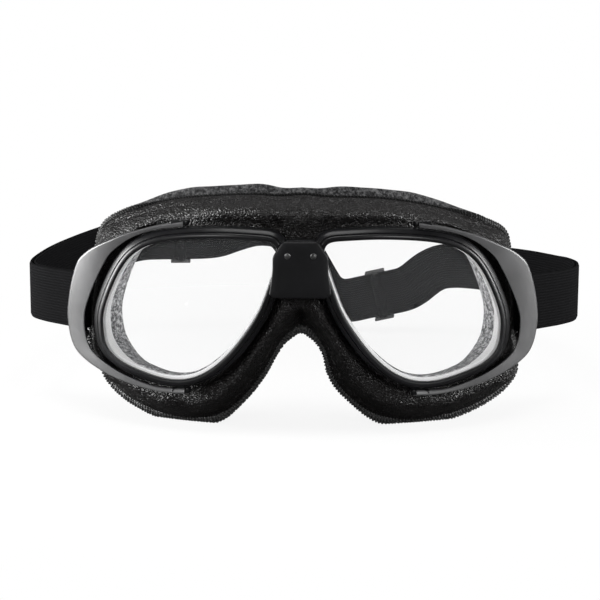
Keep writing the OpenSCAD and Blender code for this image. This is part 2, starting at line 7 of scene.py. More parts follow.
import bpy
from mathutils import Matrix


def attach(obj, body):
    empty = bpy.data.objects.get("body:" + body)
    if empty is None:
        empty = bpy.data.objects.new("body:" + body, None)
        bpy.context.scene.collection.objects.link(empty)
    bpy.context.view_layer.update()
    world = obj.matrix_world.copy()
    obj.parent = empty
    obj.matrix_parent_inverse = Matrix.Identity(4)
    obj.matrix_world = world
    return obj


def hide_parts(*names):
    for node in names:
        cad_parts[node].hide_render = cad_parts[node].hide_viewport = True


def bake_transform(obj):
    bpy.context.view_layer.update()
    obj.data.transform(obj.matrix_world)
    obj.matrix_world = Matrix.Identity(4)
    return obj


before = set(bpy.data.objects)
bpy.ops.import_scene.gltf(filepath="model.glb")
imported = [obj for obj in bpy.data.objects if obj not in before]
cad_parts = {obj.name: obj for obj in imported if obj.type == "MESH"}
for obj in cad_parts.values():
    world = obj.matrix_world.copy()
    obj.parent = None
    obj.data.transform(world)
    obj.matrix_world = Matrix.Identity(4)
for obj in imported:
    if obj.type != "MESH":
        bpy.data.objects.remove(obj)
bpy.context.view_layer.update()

# %% [markdown]
# numpy does the geometry, because a surface is then one array of points and a formula applies to all
# of them at once. bmesh is used only to weld points and to turn faces outwards.

# %% Tools, and the CAD's box
import math

import bmesh
import bpy
import numpy as np
from mathutils import Matrix, Vector

# %% [markdown]
# The driving sizes, in millimetres and the same as in the CAD's source. Working from sizes, and not
# from the CAD's mesh, lets each surface have as many points as its finish needs. A depth is measured
# backwards from the front, which is wrapped round the face. Sizes of one piece stand with that piece.

# %% Sizes that several pieces share
MM = 0.001  # metres in a millimetre
MID = 120.65  # the origin lies this far behind the frame's front
OPENING_W = 77.0
OPENING_H = 61.5
OPENING_GAP = 19.2  # between the two openings
OPENING_Z = 22.4  # their lowest point
WRAP_R = 145.0  # radius of the front, which wraps round the face
COLLAR_R = 115.0  # the same for the collars' ends
FACE_R = 140.0  # the same for the side on the face
RIM_W = 4.6  # width of the frame's rim at its top and sides
RIM_LOW_W = 3.5  # and at its lowest point
BEZEL_W = 2.5  # width of the retaining rim
BEZEL_PROUD = 1.2  # how far it stands out
BEZEL_IN = 1.5  # how deep it sits in the frame
FIT = 0.1  # play between parts that fit
AIR = 0.3  # play between parts that only face each other
LENS_T = 1.8
LENS_LAP = 1.7  # how far a lens reaches past its opening
GASKET_T = 1.0
COLLAR_T = 0.9
FRAME_D = 9.0
LENS_D = BEZEL_IN + FIT
SEAT_D = LENS_D + LENS_T + GASKET_T
STRAP_W = 25.0
STRAP_Z = 50.2  # height of its middle beside the outriggers
FINE = 10  # points from one key of an outline to the next
print(f"lens openings {OPENING_W} x {OPENING_H} mm, {OPENING_GAP} mm apart; lens at depth {LENS_D:.1f} mm")

# %% [markdown]
# Goggles have hardly a straight line, so outlines are smooth curves through a few points. Bezier
# curves would need handles; a Catmull-Rom curve passes through its keys, which can be read off a
# drawing: p(t) = (2b + (c-a)t + (2a-5b+4c-d)t^2 + (3b-a-3c+d)t^3) / 2 between keys b and c.

# %% Curves and their directions
def spline(keys, steps, closed=False):
    """Points of a Catmull-Rom curve through keys, steps to a key."""
    k = np.asarray(keys, float)
    n = len(k)
    i = np.arange(n if closed else n - 1)
    pick = (lambda j: k[j % n]) if closed else (lambda j: k[np.clip(j, 0, n - 1)])
    a, b, c, d = (pick(i + o)[:, None] for o in (-1, 0, 1, 2))
    t = (np.arange(steps) / steps)[None, :, None]
    p = 0.5 * (2 * b + (c - a) * t + (2 * a - 5 * b + 4 * c - d) * t**2 + (3 * b - a - 3 * c + d) * t**3)
    p = p.reshape(-1, k.shape[1])
    return p if closed else np.vstack([p, k[-1]])


def wrap(x, r=WRAP_R):
    """Depth of a surface wrapped round the face: r - sqrt(r^2 - x^2)."""
    return r - np.sqrt(r * r - np.asarray(x, float) ** 2)


def ease(t):
    """Smooth step: 3t^2 - 2t^3, held to 0..1."""
    t = np.clip(t, 0, 1)
    return t * t * (3 - 2 * t)


def unit(v):
    """Vectors scaled to length 1, along the last axis."""
    return v / np.linalg.norm(v, axis=-1, keepdims=True)


def tangents(p, closed):
    """Central differences along a row of points."""
    if closed:
        return unit(np.roll(p, -1, 0) - np.roll(p, 1, 0))
    return unit(np.gradient(p, axis=0))


def outward(loop):
    """Outward normals of a clockwise loop in the front view."""
    t = tangents(loop, True)
    return np.stack([-t[:, 1], t[:, 0]], 1)


def arc_length(p):
    """Distance along a row of points, from its start."""
    return np.concatenate([[0], np.cumsum(np.linalg.norm(np.diff(p, axis=0), axis=1))])


def evenly(p, n):
    """n points at equal distances along a row of points."""
    s = arc_length(p)
    at = np.linspace(0, s[-1], n)
    return np.stack([np.interp(at, s, p[:, c]) for c in range(p.shape[1])], 1)


print("depth of the wrap at 0, 50 and 95 mm:", wrap([0, 50, 95]).round(1))

# %% [markdown]
# Soft pieces are never quite even. A noise texture on a Displace modifier could do that, but a sum
# of sines in seeded directions needs no texture, gives the same result each time, and can be added
# to a grid of points before the mesh exists.

# %% A seeded unevenness
def ripple(x, y, z, scale, seed):
    """Smooth pseudo-noise of about -1..1: a sum of sines with seeded directions, size `scale` mm."""
    g = np.random.default_rng(seed)
    total = np.zeros(np.broadcast(x, y, z).shape)
    for o in range(3):
        for _ in range(4):
            d = unit(g.normal(size=3)) * 2 * np.pi / (scale * 0.6**o)
            total += np.sin(d[0] * x + d[1] * y + d[2] * z + g.uniform(0, 6.3)) * 0.5**o
    return total / 4


print("unevenness along 20 mm:", ripple(np.linspace(0, 20, 5), 0, 0, 24, 3).round(2))

# %% [markdown]
# Two outlines shape the front: the lens opening, as shares of its width and height, and the
# cushion's outer edge, in millimetres on the +X side. Both start at the top of the nose and run the
# same way round, so point i of one belongs to point i of the other. The rim is narrower at its
# lowest point, as it is on moulded goggles.

# %% Outlines of the opening and of the cushion
OPENING_SHAPE = [
    (0.003, 0.928), (0.035, 0.982), (0.135, 0.996), (0.317, 1), (0.525, 0.982), (0.68, 0.943),
    (0.79, 0.872), (0.869, 0.766), (0.94, 0.603), (0.992, 0.424), (0.997, 0.286), (0.973, 0.172),
    (0.9, 0.094), (0.784, 0.042), (0.629, 0.003), (0.499, 0.015), (0.388, 0.078), (0.284, 0.189),
    (0.187, 0.34), (0.103, 0.511), (0.038, 0.725), (0.009, 0.84)]
SKIN_KEYS = [
    (-6, 100.3), (12, 100.8), (32, 100.2), (52, 98.2), (68, 94.8), (80, 90.6), (89.6, 83.5), (93, 70),
    (93.6, 52), (93.8, 36), (93.4, 22), (88.5, 12.2), (77.5, 4.8), (61, -0.5), (46, -1.6), (33, 2.2),
    (22.5, 11.4), (14, 22.5), (7.5, 34.5), (-3, 43.5), (-8, 62), (-8, 84)]
opening_keys = [(OPENING_GAP / 2 + x * OPENING_W, OPENING_Z + z * OPENING_H) for x, z in OPENING_SHAPE]
opening = spline(opening_keys, FINE, closed=True)
skin = spline(SKIN_KEYS[-1:] + SKIN_KEYS[:-1], FINE, closed=True)
opening_normal = outward(opening)
rim_width = RIM_LOW_W + (RIM_W - RIM_LOW_W) * ease((opening[:, 1] - OPENING_Z) / (0.3 * OPENING_H))
print(f"opening: {len(opening)} points, {arc_length(opening)[-1]:.0f} mm round")
print(f"cushion: {arc_length(skin)[-1]:.0f} mm round, {2 * skin[:, 0].max():.0f} mm wide")

# %% [markdown]
# A surface here is a grid of points: rows run along a loop or a route, columns run round a section.
# Grids give clean quads and, at no cost, a UV map in metres, which the weave of the strap and the
# twist of the thread need.

# %% Grids of points
def place(p):
    """Millimetres with the front at Y = 0 to metres in the row frame."""
    return (np.asarray(p, float) - [0, MID, 0]) * MM


def grid_faces(rows, cols, row_loop, col_loop):
    """Quads of a rows x cols grid, as indices: (i, j), (i, j+1), (i+1, j+1), (i+1, j)."""
    i, j = np.meshgrid(np.arange(rows - (not row_loop)), np.arange(cols - (not col_loop)), indexing="ij")
    i, j = i.ravel(), j.ravel()
    i1, j1 = (i + 1) % rows, (j + 1) % cols
    return np.stack([i * cols + j, i * cols + j1, i1 * cols + j1, i1 * cols + j], 1)


def grid_uv(g, row_loop, col_loop):
    """Distances along the rows and across them for each face corner, in metres."""
    rows, cols = g.shape[:2]
    closed = np.concatenate([g, g[:1]]) if row_loop else g
    along = arc_length(closed.mean(1))
    ring = np.concatenate([g, g[:, :1]], 1) if col_loop else g
    across = np.linalg.norm(np.diff(ring, axis=1), axis=2).mean(0)
    across = np.concatenate([[0], np.cumsum(across)])
    i, j = np.meshgrid(np.arange(rows - (not row_loop)), np.arange(cols - (not col_loop)), indexing="ij")
    i, j = i.ravel(), j.ravel()
    u = np.stack([along[i], along[i], along[i + 1], along[i + 1]], 1)
    v = np.stack([across[j], across[j + 1], across[j + 1], across[j]], 1)
    return np.stack([u, v], 2).reshape(-1, 2) * MM


print("faces of a 3 x 3 grid of points:", len(grid_faces(3, 3, False, False)))

# %% [markdown]
# Light, collision and export all need faces that point outwards. Mirrored halves meet on the middle
# plane: there, the faces between them are removed and their points welded, so no seam shows.

# %% Outward faces and the middle seam
def face_outwards(mesh, weld=None):
    """Turns every closed shell's faces outwards, after welding points on the middle plane if asked."""
    b = bmesh.new()
    b.from_mesh(mesh)
    if weld:
        between = [f for f in b.faces if all(abs(v.co.x) < 1e-6 for v in f.verts)]
        bmesh.ops.delete(b, geom=between, context="FACES")
        middle = [v for v in b.verts if abs(v.co.x) < 1e-6]
        bmesh.ops.remove_doubles(b, verts=middle, dist=weld)
        bmesh.ops.delete(b, geom=[v for v in b.verts if not v.link_faces], context="VERTS")
    bmesh.ops.recalc_face_normals(b, faces=b.faces)
    b.to_mesh(mesh)
    b.free()


print("meshes before the first piece:", len(bpy.data.meshes))

# %% [markdown]
# A piece is often several grids: a rim and its bosses, a strap's two plies. Shell gathers
# them, can mirror what it holds, and makes one object that rides on a body of the CAD model and
# stands for one or more of its nodes.

# %% A mesh gathered from grids
class Shell:
    """Vertices, faces and UVs of one mesh, gathered from grids."""

    def __init__(self):
        self.verts = []
        self.faces = []
        self.uvs = []
        self.count = 0

    def grid(self, g, row_loop=False, col_loop=False, flip=False, caps=False):
        """Adds a grid of points (rows, cols, 3) in millimetres, with flat caps if asked."""
        g = np.asarray(g, float)
        rows, cols = g.shape[:2]
        f = grid_faces(rows, cols, row_loop, col_loop)
        uv = grid_uv(g, row_loop, col_loop).reshape(-1, 4, 2)
        if flip:
            f = f[:, ::-1]
            uv = uv[:, ::-1]
        self.faces += (f + self.count).tolist()
        self.uvs.append(uv.reshape(-1, 2))
        if caps:
            for row, turn in ((0, 1), (rows - 1, -1)):
                ring = [self.count + row * cols + j for j in range(cols)]
                self.faces.append(ring[::-turn * (-1 if flip else 1)])
                self.uvs.append(g[row, :, [0, 2]].T * MM)
        self.verts.append(g.reshape(-1, 3))
        self.count += rows * cols
        return self

    def mirrored(self):
        """Adds the mirror image in X of everything so far."""
        v = np.concatenate(self.verts)
        self.faces += [[i + self.count for i in f[::-1]] for f in self.faces]
        uvs = np.concatenate(self.uvs)
        sizes = np.cumsum([len(f) for f in self.faces[: len(self.faces) // 2]])[:-1]
        self.uvs.append(np.concatenate([part[::-1] for part in np.split(uvs, sizes)]))
        self.verts.append(v * [-1, 1, 1])
        self.count *= 2
        return self

    def make(self, name, material, body, replaces, slot, sharp=None):
        """Makes the object, in place in the row frame, riding on a body and standing for CAD nodes.
        Edges sharper than sharp degrees stay crisp in the shading."""
        mesh = bpy.data.meshes.new(name)
        mesh.from_pydata(place(np.concatenate(self.verts)).tolist(), [], self.faces)
        layer = mesh.uv_layers.new(name="UVMap")
        layer.data.foreach_set("uv", np.concatenate(self.uvs).astype(np.float32).ravel())
        face_outwards(mesh)
        mesh.polygons.foreach_set("use_smooth", [True] * len(self.faces))
        if sharp:
            mesh.set_sharp_from_angle(angle=math.radians(sharp))
        mesh.materials.append(material)
        obj = bpy.data.objects.new(name, mesh)
        bpy.context.scene.collection.objects.link(obj)
        if body:
            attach(obj, body)
        if replaces:
            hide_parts(*replaces)
        return obj


print("points of a 4 x 5 grid:", Shell().grid(np.zeros((4, 5, 3))).count)

# %% [markdown]
# Moulded edges are never sharp. A Bevel modifier could round them, but a section that already
# has arcs at its corners costs less and keeps the same shape all the way round. Each arc is a
# quadratic curve, (1-t)^2 a + 2t(1-t) c + t^2 b, from one side over the corner c to the other.

# %% Sections with rounded corners
def rounded(corners, radius, steps=3):
    """A closed polygon with each corner turned by an arc: corners (s, d), one radius or one each."""
    c = np.asarray(corners, float)
    radii = np.broadcast_to(radius, len(c))
    out = []
    for k in range(len(c)):
        a = unit(c[k - 1] - c[k])
        b = unit(c[(k + 1) % len(c)] - c[k])
        start = c[k] + a * radii[k]
        end = c[k] + b * radii[k]
        for t in np.linspace(0, 1, steps + 1):
            out.append((1 - t) ** 2 * start + 2 * t * (1 - t) * c[k] + t * t * end)
    return np.array(out)


def ring_grid(loop, normal, profile):
    """Sweeps a profile (s outwards, d behind the wrap) round a loop."""
    s = profile[None, :, 0]
    x = loop[:, None, 0] + s * normal[:, None, 0]
    z = loop[:, None, 1] + s * normal[:, None, 1]
    return np.stack([x, wrap(x) + profile[None, :, 1], z], 2)


print("a square with rounded corners:", len(rounded([(0, 0), (1, 0), (1, 1), (0, 1)], 0.1)), "points")

# %% [markdown]
# Finishes are procedural, so they need no pictures and have no resolution. Patterns are in object
# coordinates, which are metres here, or in the UV distances where a pattern follows the surface.
# These helpers keep each material to a few readable lines.

# %% Helpers for materials
def new_material(name, color, roughness, metallic=0.0, sheen=0.0, specular=0.5):
    """A Principled material, its node tree and its shader."""
    m = bpy.data.materials.new(name)
    m.use_nodes = True
    m.diffuse_color = (*color, 1)
    shader = m.node_tree.nodes["Principled BSDF"]
    shader.inputs["Base Color"].default_value = (*color, 1)
    shader.inputs["Roughness"].default_value = roughness
    shader.inputs["Metallic"].default_value = metallic
    shader.inputs["Specular IOR Level"].default_value = specular
    shader.inputs["Sheen Weight"].default_value = sheen
    return m, m.node_tree, shader


def node(tree, kind, links=(), **values):
    """Adds a node. Names in values are its properties or its inputs, links are (input, output socket)."""
    n = tree.nodes.new(kind)
    for key, value in values.items():
        if hasattr(n, key):
            setattr(n, key, value)
        else:
            n.inputs[key.replace("_", " ")].default_value = value
    for key, source in links:
        tree.links.new(source, n.inputs[key])
    return n


def coords(tree, kind="Object"):
    """The Object or UV coordinates, both in metres."""
    return node(tree, "ShaderNodeTexCoord").outputs[kind]


def stretched(tree, vector, scale):
    """A vector scaled by axis."""
    return node(tree, "ShaderNodeMapping", [("Vector", vector)], Scale=scale).outputs[0]


def noise(tree, vector, size_mm, detail=3.0, roughness=0.55):
    """Noise of about 0..1 whose features are size_mm across."""
    n = node(tree, "ShaderNodeTexNoise", [("Vector", vector)], Scale=1000 / size_mm, Detail=detail)
    n.inputs["Roughness"].default_value = roughness
    return n.outputs["Fac"]


def ramp(tree, fac, stops):
    """A colour ramp of grey or colour stops (position, value)."""
    r = node(tree, "ShaderNodeValToRGB", [("Fac", fac)])
    elements = r.color_ramp.elements
    while len(elements) < len(stops):
        elements.new(0.5)
    for e, (pos, value) in zip(elements, stops):
        e.position = pos
        e.color = (*value, 1) if hasattr(value, "__len__") else (value, value, value, 1)
    return r.outputs[0]


def maths(tree, operation, a, b=None, c=None):
    """One Math node on sockets or numbers."""
    n = tree.nodes.new("ShaderNodeMath")
    n.operation = operation
    for i, v in enumerate((a, b, c)):
        if v is None:
            continue
        if hasattr(v, "is_output"):
            tree.links.new(v, n.inputs[i])
        else:
            n.inputs[i].default_value = v
    return n.outputs[0]


def bump(tree, shader, height, distance_mm):
    """Drives the shader's normal by a height of 0..1."""
    b = node(tree, "ShaderNodeBump", [("Height", height)], Distance=distance_mm * MM)
    tree.links.new(b.outputs[0], shader.inputs["Normal"])

# %% [markdown]
# The frame, rims, cover, outriggers and sliders are moulded plastic. What tells plastic from paint
# is its gloss: a fine grain from the mould, streaks where hands touch it, and cloudy patches. One
# function makes all five, from nearly black to the dark grey of the outriggers.

# %% Moulded plastic
def plastic(name, dark, light, roughness, specular):
    """Moulded plastic: a fine spark-eroded grain, faint handling marks and cloudy gloss."""
    m, tree, shader = new_material(name, light, roughness, specular=specular)
    at = coords(tree)
    cloud = noise(tree, at, 22.0)
    fine = noise(tree, at, 0.35, 2.0)
    marks = noise(tree, stretched(tree, at, (1, 1, 0.25)), 1.6, 5.0, 0.7)
    tree.links.new(ramp(tree, cloud, [(0.35, dark), (0.65, light)]), shader.inputs["Base Color"])
    gloss = maths(tree, "MULTIPLY_ADD", marks, 0.16, roughness - 0.08)
    tree.links.new(maths(tree, "MULTIPLY_ADD", cloud, 0.12, maths(tree, "SUBTRACT", gloss, 0.06)),
                   shader.inputs["Roughness"])
    bump(tree, shader, fine, 0.012)
    return m


FRAME_PLASTIC = plastic("frame plastic", (0.003, 0.003, 0.0035), (0.007, 0.007, 0.008), 0.32, 0.26)
RIM_PLASTIC = plastic("rim plastic", (0.003, 0.003, 0.0035), (0.008, 0.008, 0.009), 0.32, 0.28)
COVER_PLASTIC = plastic("cover plastic", (0.002, 0.002, 0.0025), (0.004, 0.004, 0.005), 0.42, 0.3)
ARM_PLASTIC = plastic("outrigger plastic", (0.050, 0.050, 0.051), (0.070, 0.070, 0.072), 0.33, 0.7)
SLIDER_PLASTIC = plastic("slider plastic", (0.045, 0.045, 0.046), (0.07, 0.07, 0.072), 0.30, 0.6)
print("plastics:", FRAME_PLASTIC.name, RIM_PLASTIC.name, COVER_PLASTIC.name, ARM_PLASTIC.name)

# %% [markdown]
# Embossed leather shows pebbles about a millimetre wide, crossed by coarser creases. Distances to
# the edges of Voronoi cells give both: small cells for the pebbles, cells of 3 mm for the creases.
# The grid is first warped by noise, because real cells are never straight-sided.

# %% Grained leather
def leather_material():
    """Black grained leather: pebbles and creases from Voronoi edges, with a cloudy, worn gloss."""
    m, tree, shader = new_material("leather", (0.004, 0.003, 0.003), 0.34, specular=0.42)
    at = coords(tree)
    swirl = node(tree, "ShaderNodeTexNoise", [("Vector", at)], Scale=260, Detail=2)
    warp = node(tree, "ShaderNodeVectorMath", [(0, swirl.outputs["Color"])], operation="SCALE")
    warp.inputs["Scale"].default_value = 0.0012
    warped = node(tree, "ShaderNodeVectorMath", [(0, at), (1, warp.outputs[0])], operation="ADD").outputs[0]
    pebble = node(tree, "ShaderNodeTexVoronoi", [("Vector", warped)], feature="DISTANCE_TO_EDGE", Scale=900)
    big = node(tree, "ShaderNodeTexVoronoi", [("Vector", warped)], feature="DISTANCE_TO_EDGE", Scale=330)
    cell = maths(tree, "MINIMUM", maths(tree, "MULTIPLY", pebble.outputs["Distance"], 3.2), 1.0)
    crease = maths(tree, "MINIMUM", maths(tree, "MULTIPLY", big.outputs["Distance"], 5.0), 1.0)
    skin_fine = noise(tree, at, 0.25, 3.0)
    height = maths(tree, "MULTIPLY_ADD", crease, 0.9, maths(tree, "MULTIPLY_ADD", skin_fine, 0.08, cell))
    bump(tree, shader, height, 0.27)
    dye = [(0.3, (0.002, 0.0015, 0.0015)), (0.7, (0.006, 0.005, 0.005))]
    tint = ramp(tree, noise(tree, at, 16.0, 4.0), dye)
    tree.links.new(tint, shader.inputs["Base Color"])
    wear = maths(tree, "MULTIPLY_ADD", noise(tree, at, 6.0, 4.0), 0.20, 0.24)
    gloss = maths(tree, "SUBTRACT", wear, maths(tree, "MULTIPLY", cell, -0.08))
    tree.links.new(gloss, shader.inputs["Roughness"])
    return m


LEATHER = leather_material()
print("leather:", len(LEATHER.node_tree.nodes), "nodes")

# %% [markdown]
# The lining is brushed grey fleece. Hair would be heavy and hard to export, so speckled tufts and
# clumps of noise carry it, with a soft sheen. Where it rolls over the brow its colour is darker
# above a certain height: painted shade.

# %% Brushed fleece
def fleece_material():
    """Grey brushed fleece: speckled tufts with a soft sheen, and painted shade over the brow."""
    m, tree, shader = new_material("fleece", (0.16, 0.16, 0.165), 0.95, sheen=0.12, specular=0.05)
    at = coords(tree)
    tufts = noise(tree, at, 1.3, 4.0, 0.8)
    clumps = noise(tree, at, 2.8, 3.0)
    both = maths(tree, "MULTIPLY_ADD", clumps, 0.25, maths(tree, "MULTIPLY", tufts, 0.75))
    greys = [(0.42, (0.06, 0.06, 0.063)), (0.5, (0.33, 0.33, 0.34)), (0.58, (0.85, 0.85, 0.86))]
    color = ramp(tree, both, greys)
    parts = node(tree, "ShaderNodeSeparateXYZ", [("Vector", at)])
    height = maths(tree, "MULTIPLY_ADD", clumps, 0.004, parts.outputs["Z"])
    # Painted shade: above the brow the colour falls to 16 per cent.
    painted_brow_shade = ramp(tree, height, [(0.0875, 1.0), (0.0925, 0.16)])
    brow_shade_mix = node(tree, "ShaderNodeMix", data_type="RGBA", blend_type="MULTIPLY")
    brow_shade_mix.inputs["Factor"].default_value = 1.0
    tree.links.new(color, brow_shade_mix.inputs[6])
    tree.links.new(painted_brow_shade, brow_shade_mix.inputs[7])
    tree.links.new(brow_shade_mix.outputs[2], shader.inputs["Base Color"])
    bump(tree, shader, both, 1.1)
    return m


FLEECE = fleece_material()
print("fleece:", len(FLEECE.node_tree.nodes), "nodes")

# %% [markdown]
# Foam hardly shows, only where leather and lining part. Round cells are enough for it.

# %% Foam
def foam_material():
    """Open-cell foam: small round cells."""
    m, tree, shader = new_material("foam", (0.10, 0.10, 0.11), 1.0, specular=0.1)
    cells = node(tree, "ShaderNodeTexVoronoi", [("Vector", coords(tree))], Scale=1300)
    color = ramp(tree, cells.outputs["Distance"], [(0.1, 0.03), (0.6, 0.13)])
    tree.links.new(color, shader.inputs["Base Color"])
    bump(tree, shader, cells.outputs["Distance"], 0.3)
    return m


FOAM = foam_material()
print("foam:", len(FOAM.node_tree.nodes), "nodes")

# %% [markdown]
# The edge is sewn with black polyester thread, slightly shiny and twisted. A wave along the UV
# map gives the twist. Above the brow it lies in a groove, and there its colour and gloss are darkened
# by height: painted shade.

# %% Thread
def thread_material():
    """Black polyester thread with a twist across its length, and painted shade above the brow."""
    m, tree, shader = new_material("thread", (0.012, 0.012, 0.013), 0.38, sheen=0.1, specular=0.6)
    uv = coords(tree, "UV")
    ply = node(tree, "ShaderNodeTexWave", [("Vector", uv)], Scale=900, Distortion=1.0)
    bump(tree, shader, ply.outputs["Fac"], 0.05)
    fuzz = noise(tree, coords(tree), 0.6, 3.0)
    parts = node(tree, "ShaderNodeSeparateXYZ", [("Vector", coords(tree))])
    # Painted shade: above the brow the thread's colour and gloss fall to 8 per cent.
    painted_groove_shade = ramp(tree, parts.outputs["Z"], [(0.086, 1.0), (0.091, 0.08)])
    tree.links.new(maths(tree, "MULTIPLY", ramp(tree, fuzz, [(0.3, 0.006), (0.75, 0.022)]), painted_groove_shade),
                   shader.inputs["Base Color"])
    tree.links.new(maths(tree, "MULTIPLY", painted_groove_shade, 0.6), shader.inputs["Specular IOR Level"])
    return m


THREAD = thread_material()
print("thread:", len(THREAD.node_tree.nodes), "nodes")

# %% [markdown]
# Elastic webbing has ribs along it, crossed by fine picks. Both are sines of the UV distances,
# 1.25 mm and 0.9 mm apart, so the weave bends with the strap instead of sliding over it.

# %% Woven elastic
def webbing_material():
    """Woven elastic: ribs along the strap, crossed by finer picks. U runs along it and V across."""
    m, tree, shader = new_material("webbing", (0.003, 0.003, 0.0035), 0.9, specular=0.06)
    parts = node(tree, "ShaderNodeSeparateXYZ", [("Vector", coords(tree, "UV"))])
    ribs = maths(tree, "SINE", maths(tree, "MULTIPLY", parts.outputs["Y"], 2 * math.pi / (1.25 * MM)))
    picks = maths(tree, "SINE", maths(tree, "MULTIPLY", parts.outputs["X"], 2 * math.pi / (0.9 * MM)))
    weave = maths(tree, "MULTIPLY_ADD", maths(tree, "MULTIPLY", ribs, picks), 0.3,
                  maths(tree, "MULTIPLY_ADD", ribs, 0.25, 0.5))
    lint = noise(tree, coords(tree), 0.7, 4.0, 0.7)
    bump(tree, shader, maths(tree, "MULTIPLY_ADD", lint, 0.35, weave), 0.22)
    shade = maths(tree, "MULTIPLY_ADD", lint, 0.5, maths(tree, "MULTIPLY", weave, 0.5))
    color = ramp(tree, shade, [(0.3, (0.001, 0.001, 0.0012)), (0.75, (0.009, 0.009, 0.010))])
    tree.links.new(color, shader.inputs["Base Color"])
    return m


WEBBING = webbing_material()
print("webbing:", len(WEBBING.node_tree.nodes), "nodes")

# %% [markdown]
# Screws and pins are small steel parts: metallic, brushed along one axis, and a little stained.

# %% Steel fixings
def metal_material():
    """Small steel fixings, brushed and slightly stained."""
    m, tree, shader = new_material("fixing steel", (0.16, 0.16, 0.165), 0.35, metallic=1.0)
    at = coords(tree)
    stain = noise(tree, at, 1.5, 4.0)
    tree.links.new(ramp(tree, stain, [(0.3, 0.08), (0.7, 0.20)]), shader.inputs["Base Color"])
    tree.links.new(maths(tree, "MULTIPLY_ADD", stain, 0.3, 0.2), shader.inputs["Roughness"])
    bump(tree, shader, noise(tree, stretched(tree, at, (1, 1, 8)), 0.4), 0.02)
    return m


STEEL = metal_material()
print("steel:", len(STEEL.node_tree.nodes), "nodes")

# %% [markdown]
# The gaskets are pale rubber, which passes some light: behind the rim they look brighter than
# their surroundings. True subsurface scattering is slow in so thin a wall, so a faint glow is
# painted on instead: painted light that brightens the collar, though it is no lamp.

# %% Pale rubber
def gasket_material():
    """Pale translucent rubber, a little dusty, with a faint painted glow."""
    m, tree, shader = new_material("gasket rubber", (0.80, 0.81, 0.81), 0.4)
    # Painted light: a faint white emission brightens the collar.
    shader.inputs["Emission Color"].default_value = (1, 1, 1, 1)
    shader.inputs["Emission Strength"].default_value = 0.17
    dust = noise(tree, coords(tree), 4.0, 4.0)
    tree.links.new(ramp(tree, dust, [(0.3, 0.90), (0.6, 0.96)]), shader.inputs["Base Color"])
    bump(tree, shader, noise(tree, coords(tree), 0.5), 0.02)
    return m


GASKET = gasket_material()
print("gasket:", len(GASKET.node_tree.nodes), "nodes")

# %% [markdown]
# A polished lens is clear in the middle and mirrors at its edge. Real transmission would darken
# and bend what lies behind, and is slow to render. A low alpha that grows with the Fresnel term
# shows the same at a fraction of the cost, with a little haze from handling.

# %% Clear lens
def lens_material():
    """Clear plate: see-through, with a polished skin that reflects more at a glancing angle."""
    m, tree, shader = new_material("lens", (0.42, 0.43, 0.435), 0.03, specular=0.8)
    smear = noise(tree, coords(tree), 14.0, 4.0)
    tree.links.new(maths(tree, "MULTIPLY_ADD", smear, 0.06, 0.01), shader.inputs["Roughness"])
    edge = node(tree, "ShaderNodeLayerWeight", Blend=0.2).outputs["Fresnel"]
    tree.links.new(maths(tree, "MULTIPLY_ADD", edge, 0.45, 0.03), shader.inputs["Alpha"])
    return m


LENS = lens_material()
print("lens:", LENS.name, "with", len(LENS.node_tree.nodes), "nodes")

# %% [markdown]
# The rigid front is one moulding: two rims, a web over the nose and four hinge bosses. Each rim is
# a closed L-shaped section, with a low step for the retaining rim and a deeper wall behind, swept
# round its opening. s is the distance outside the opening, d the depth behind the wrapped front.
# The outer bevel is what catches the light in the photograph.

# %% The frame's rim
def rim_section():
    """The rim's section for a rim RIM_W wide."""
    step = BEZEL_W + FIT
    corners = [(step, 0), (RIM_W, 1.8), (RIM_W, FRAME_D), (0, FRAME_D), (0, SEAT_D), (step, SEAT_D)]
    return rounded(corners, [0.55, 0.9, 0.5, 0.3, 0.2, 0.1])


def rim_rows():
    """The rim's grid, with the outer face drawn in where the rim is narrower."""
    profile = rim_section()
    share = np.clip((profile[:, 0] - BEZEL_W - FIT) / (RIM_W - BEZEL_W - FIT), 0, 1)
    s = profile[None, :, 0] + share[None, :] * (rim_width[:, None] - RIM_W)
    x = opening[:, None, 0] + s * opening_normal[:, None, 0]
    z = opening[:, None, 1] + s * opening_normal[:, None, 1]
    return np.stack([x, wrap(x) + profile[None, :, 1], z], 2)


print("rim:", rim_rows().shape, "points by section points")

# %% [markdown]
# Plates that follow the wrap, such as the web and the bridge cover, are rings: the front from the
# middle outwards, round the bevelled rim, and the back again. That keeps the outline exact, which
# a subdivided plane cut by a boolean would not. Bosses, pins and bars are rings of a cylinder.

# %% Plates and cylinders
def plate_grid(outline, d_front, d_back, bevel, rings=4):
    """A plate that follows the wrap, as closed rings: front, bevelled rim and back."""
    loop = np.asarray(outline, float)
    centre = loop.mean(0)
    n = outward(loop)
    if ((loop - centre) * n).sum() < 0:
        n = -n
    rows = []
    for share in np.linspace(0.02, 1, rings):
        rows.append((centre + (loop - bevel * n - centre) * share, d_front))
    for a in (30, 60, 90):
        back = bevel * (1 - math.sin(math.radians(a)))
        rows.append((loop - n * back, d_front + bevel * (1 - math.cos(math.radians(a)))))
    for a in (0, 45, 90):
        back = bevel * (1 - math.cos(math.radians(a)))
        rows.append((loop - n * back, d_back - bevel * (1 - math.sin(math.radians(a)))))
    for share in np.linspace(1, 0.02, rings)[1:]:
        rows.append((centre + (loop - bevel * n - centre) * share, d_back))
    return np.array([np.stack([p[:, 0], wrap(p[:, 0]) + d, p[:, 1]], 1) for p, d in rows])


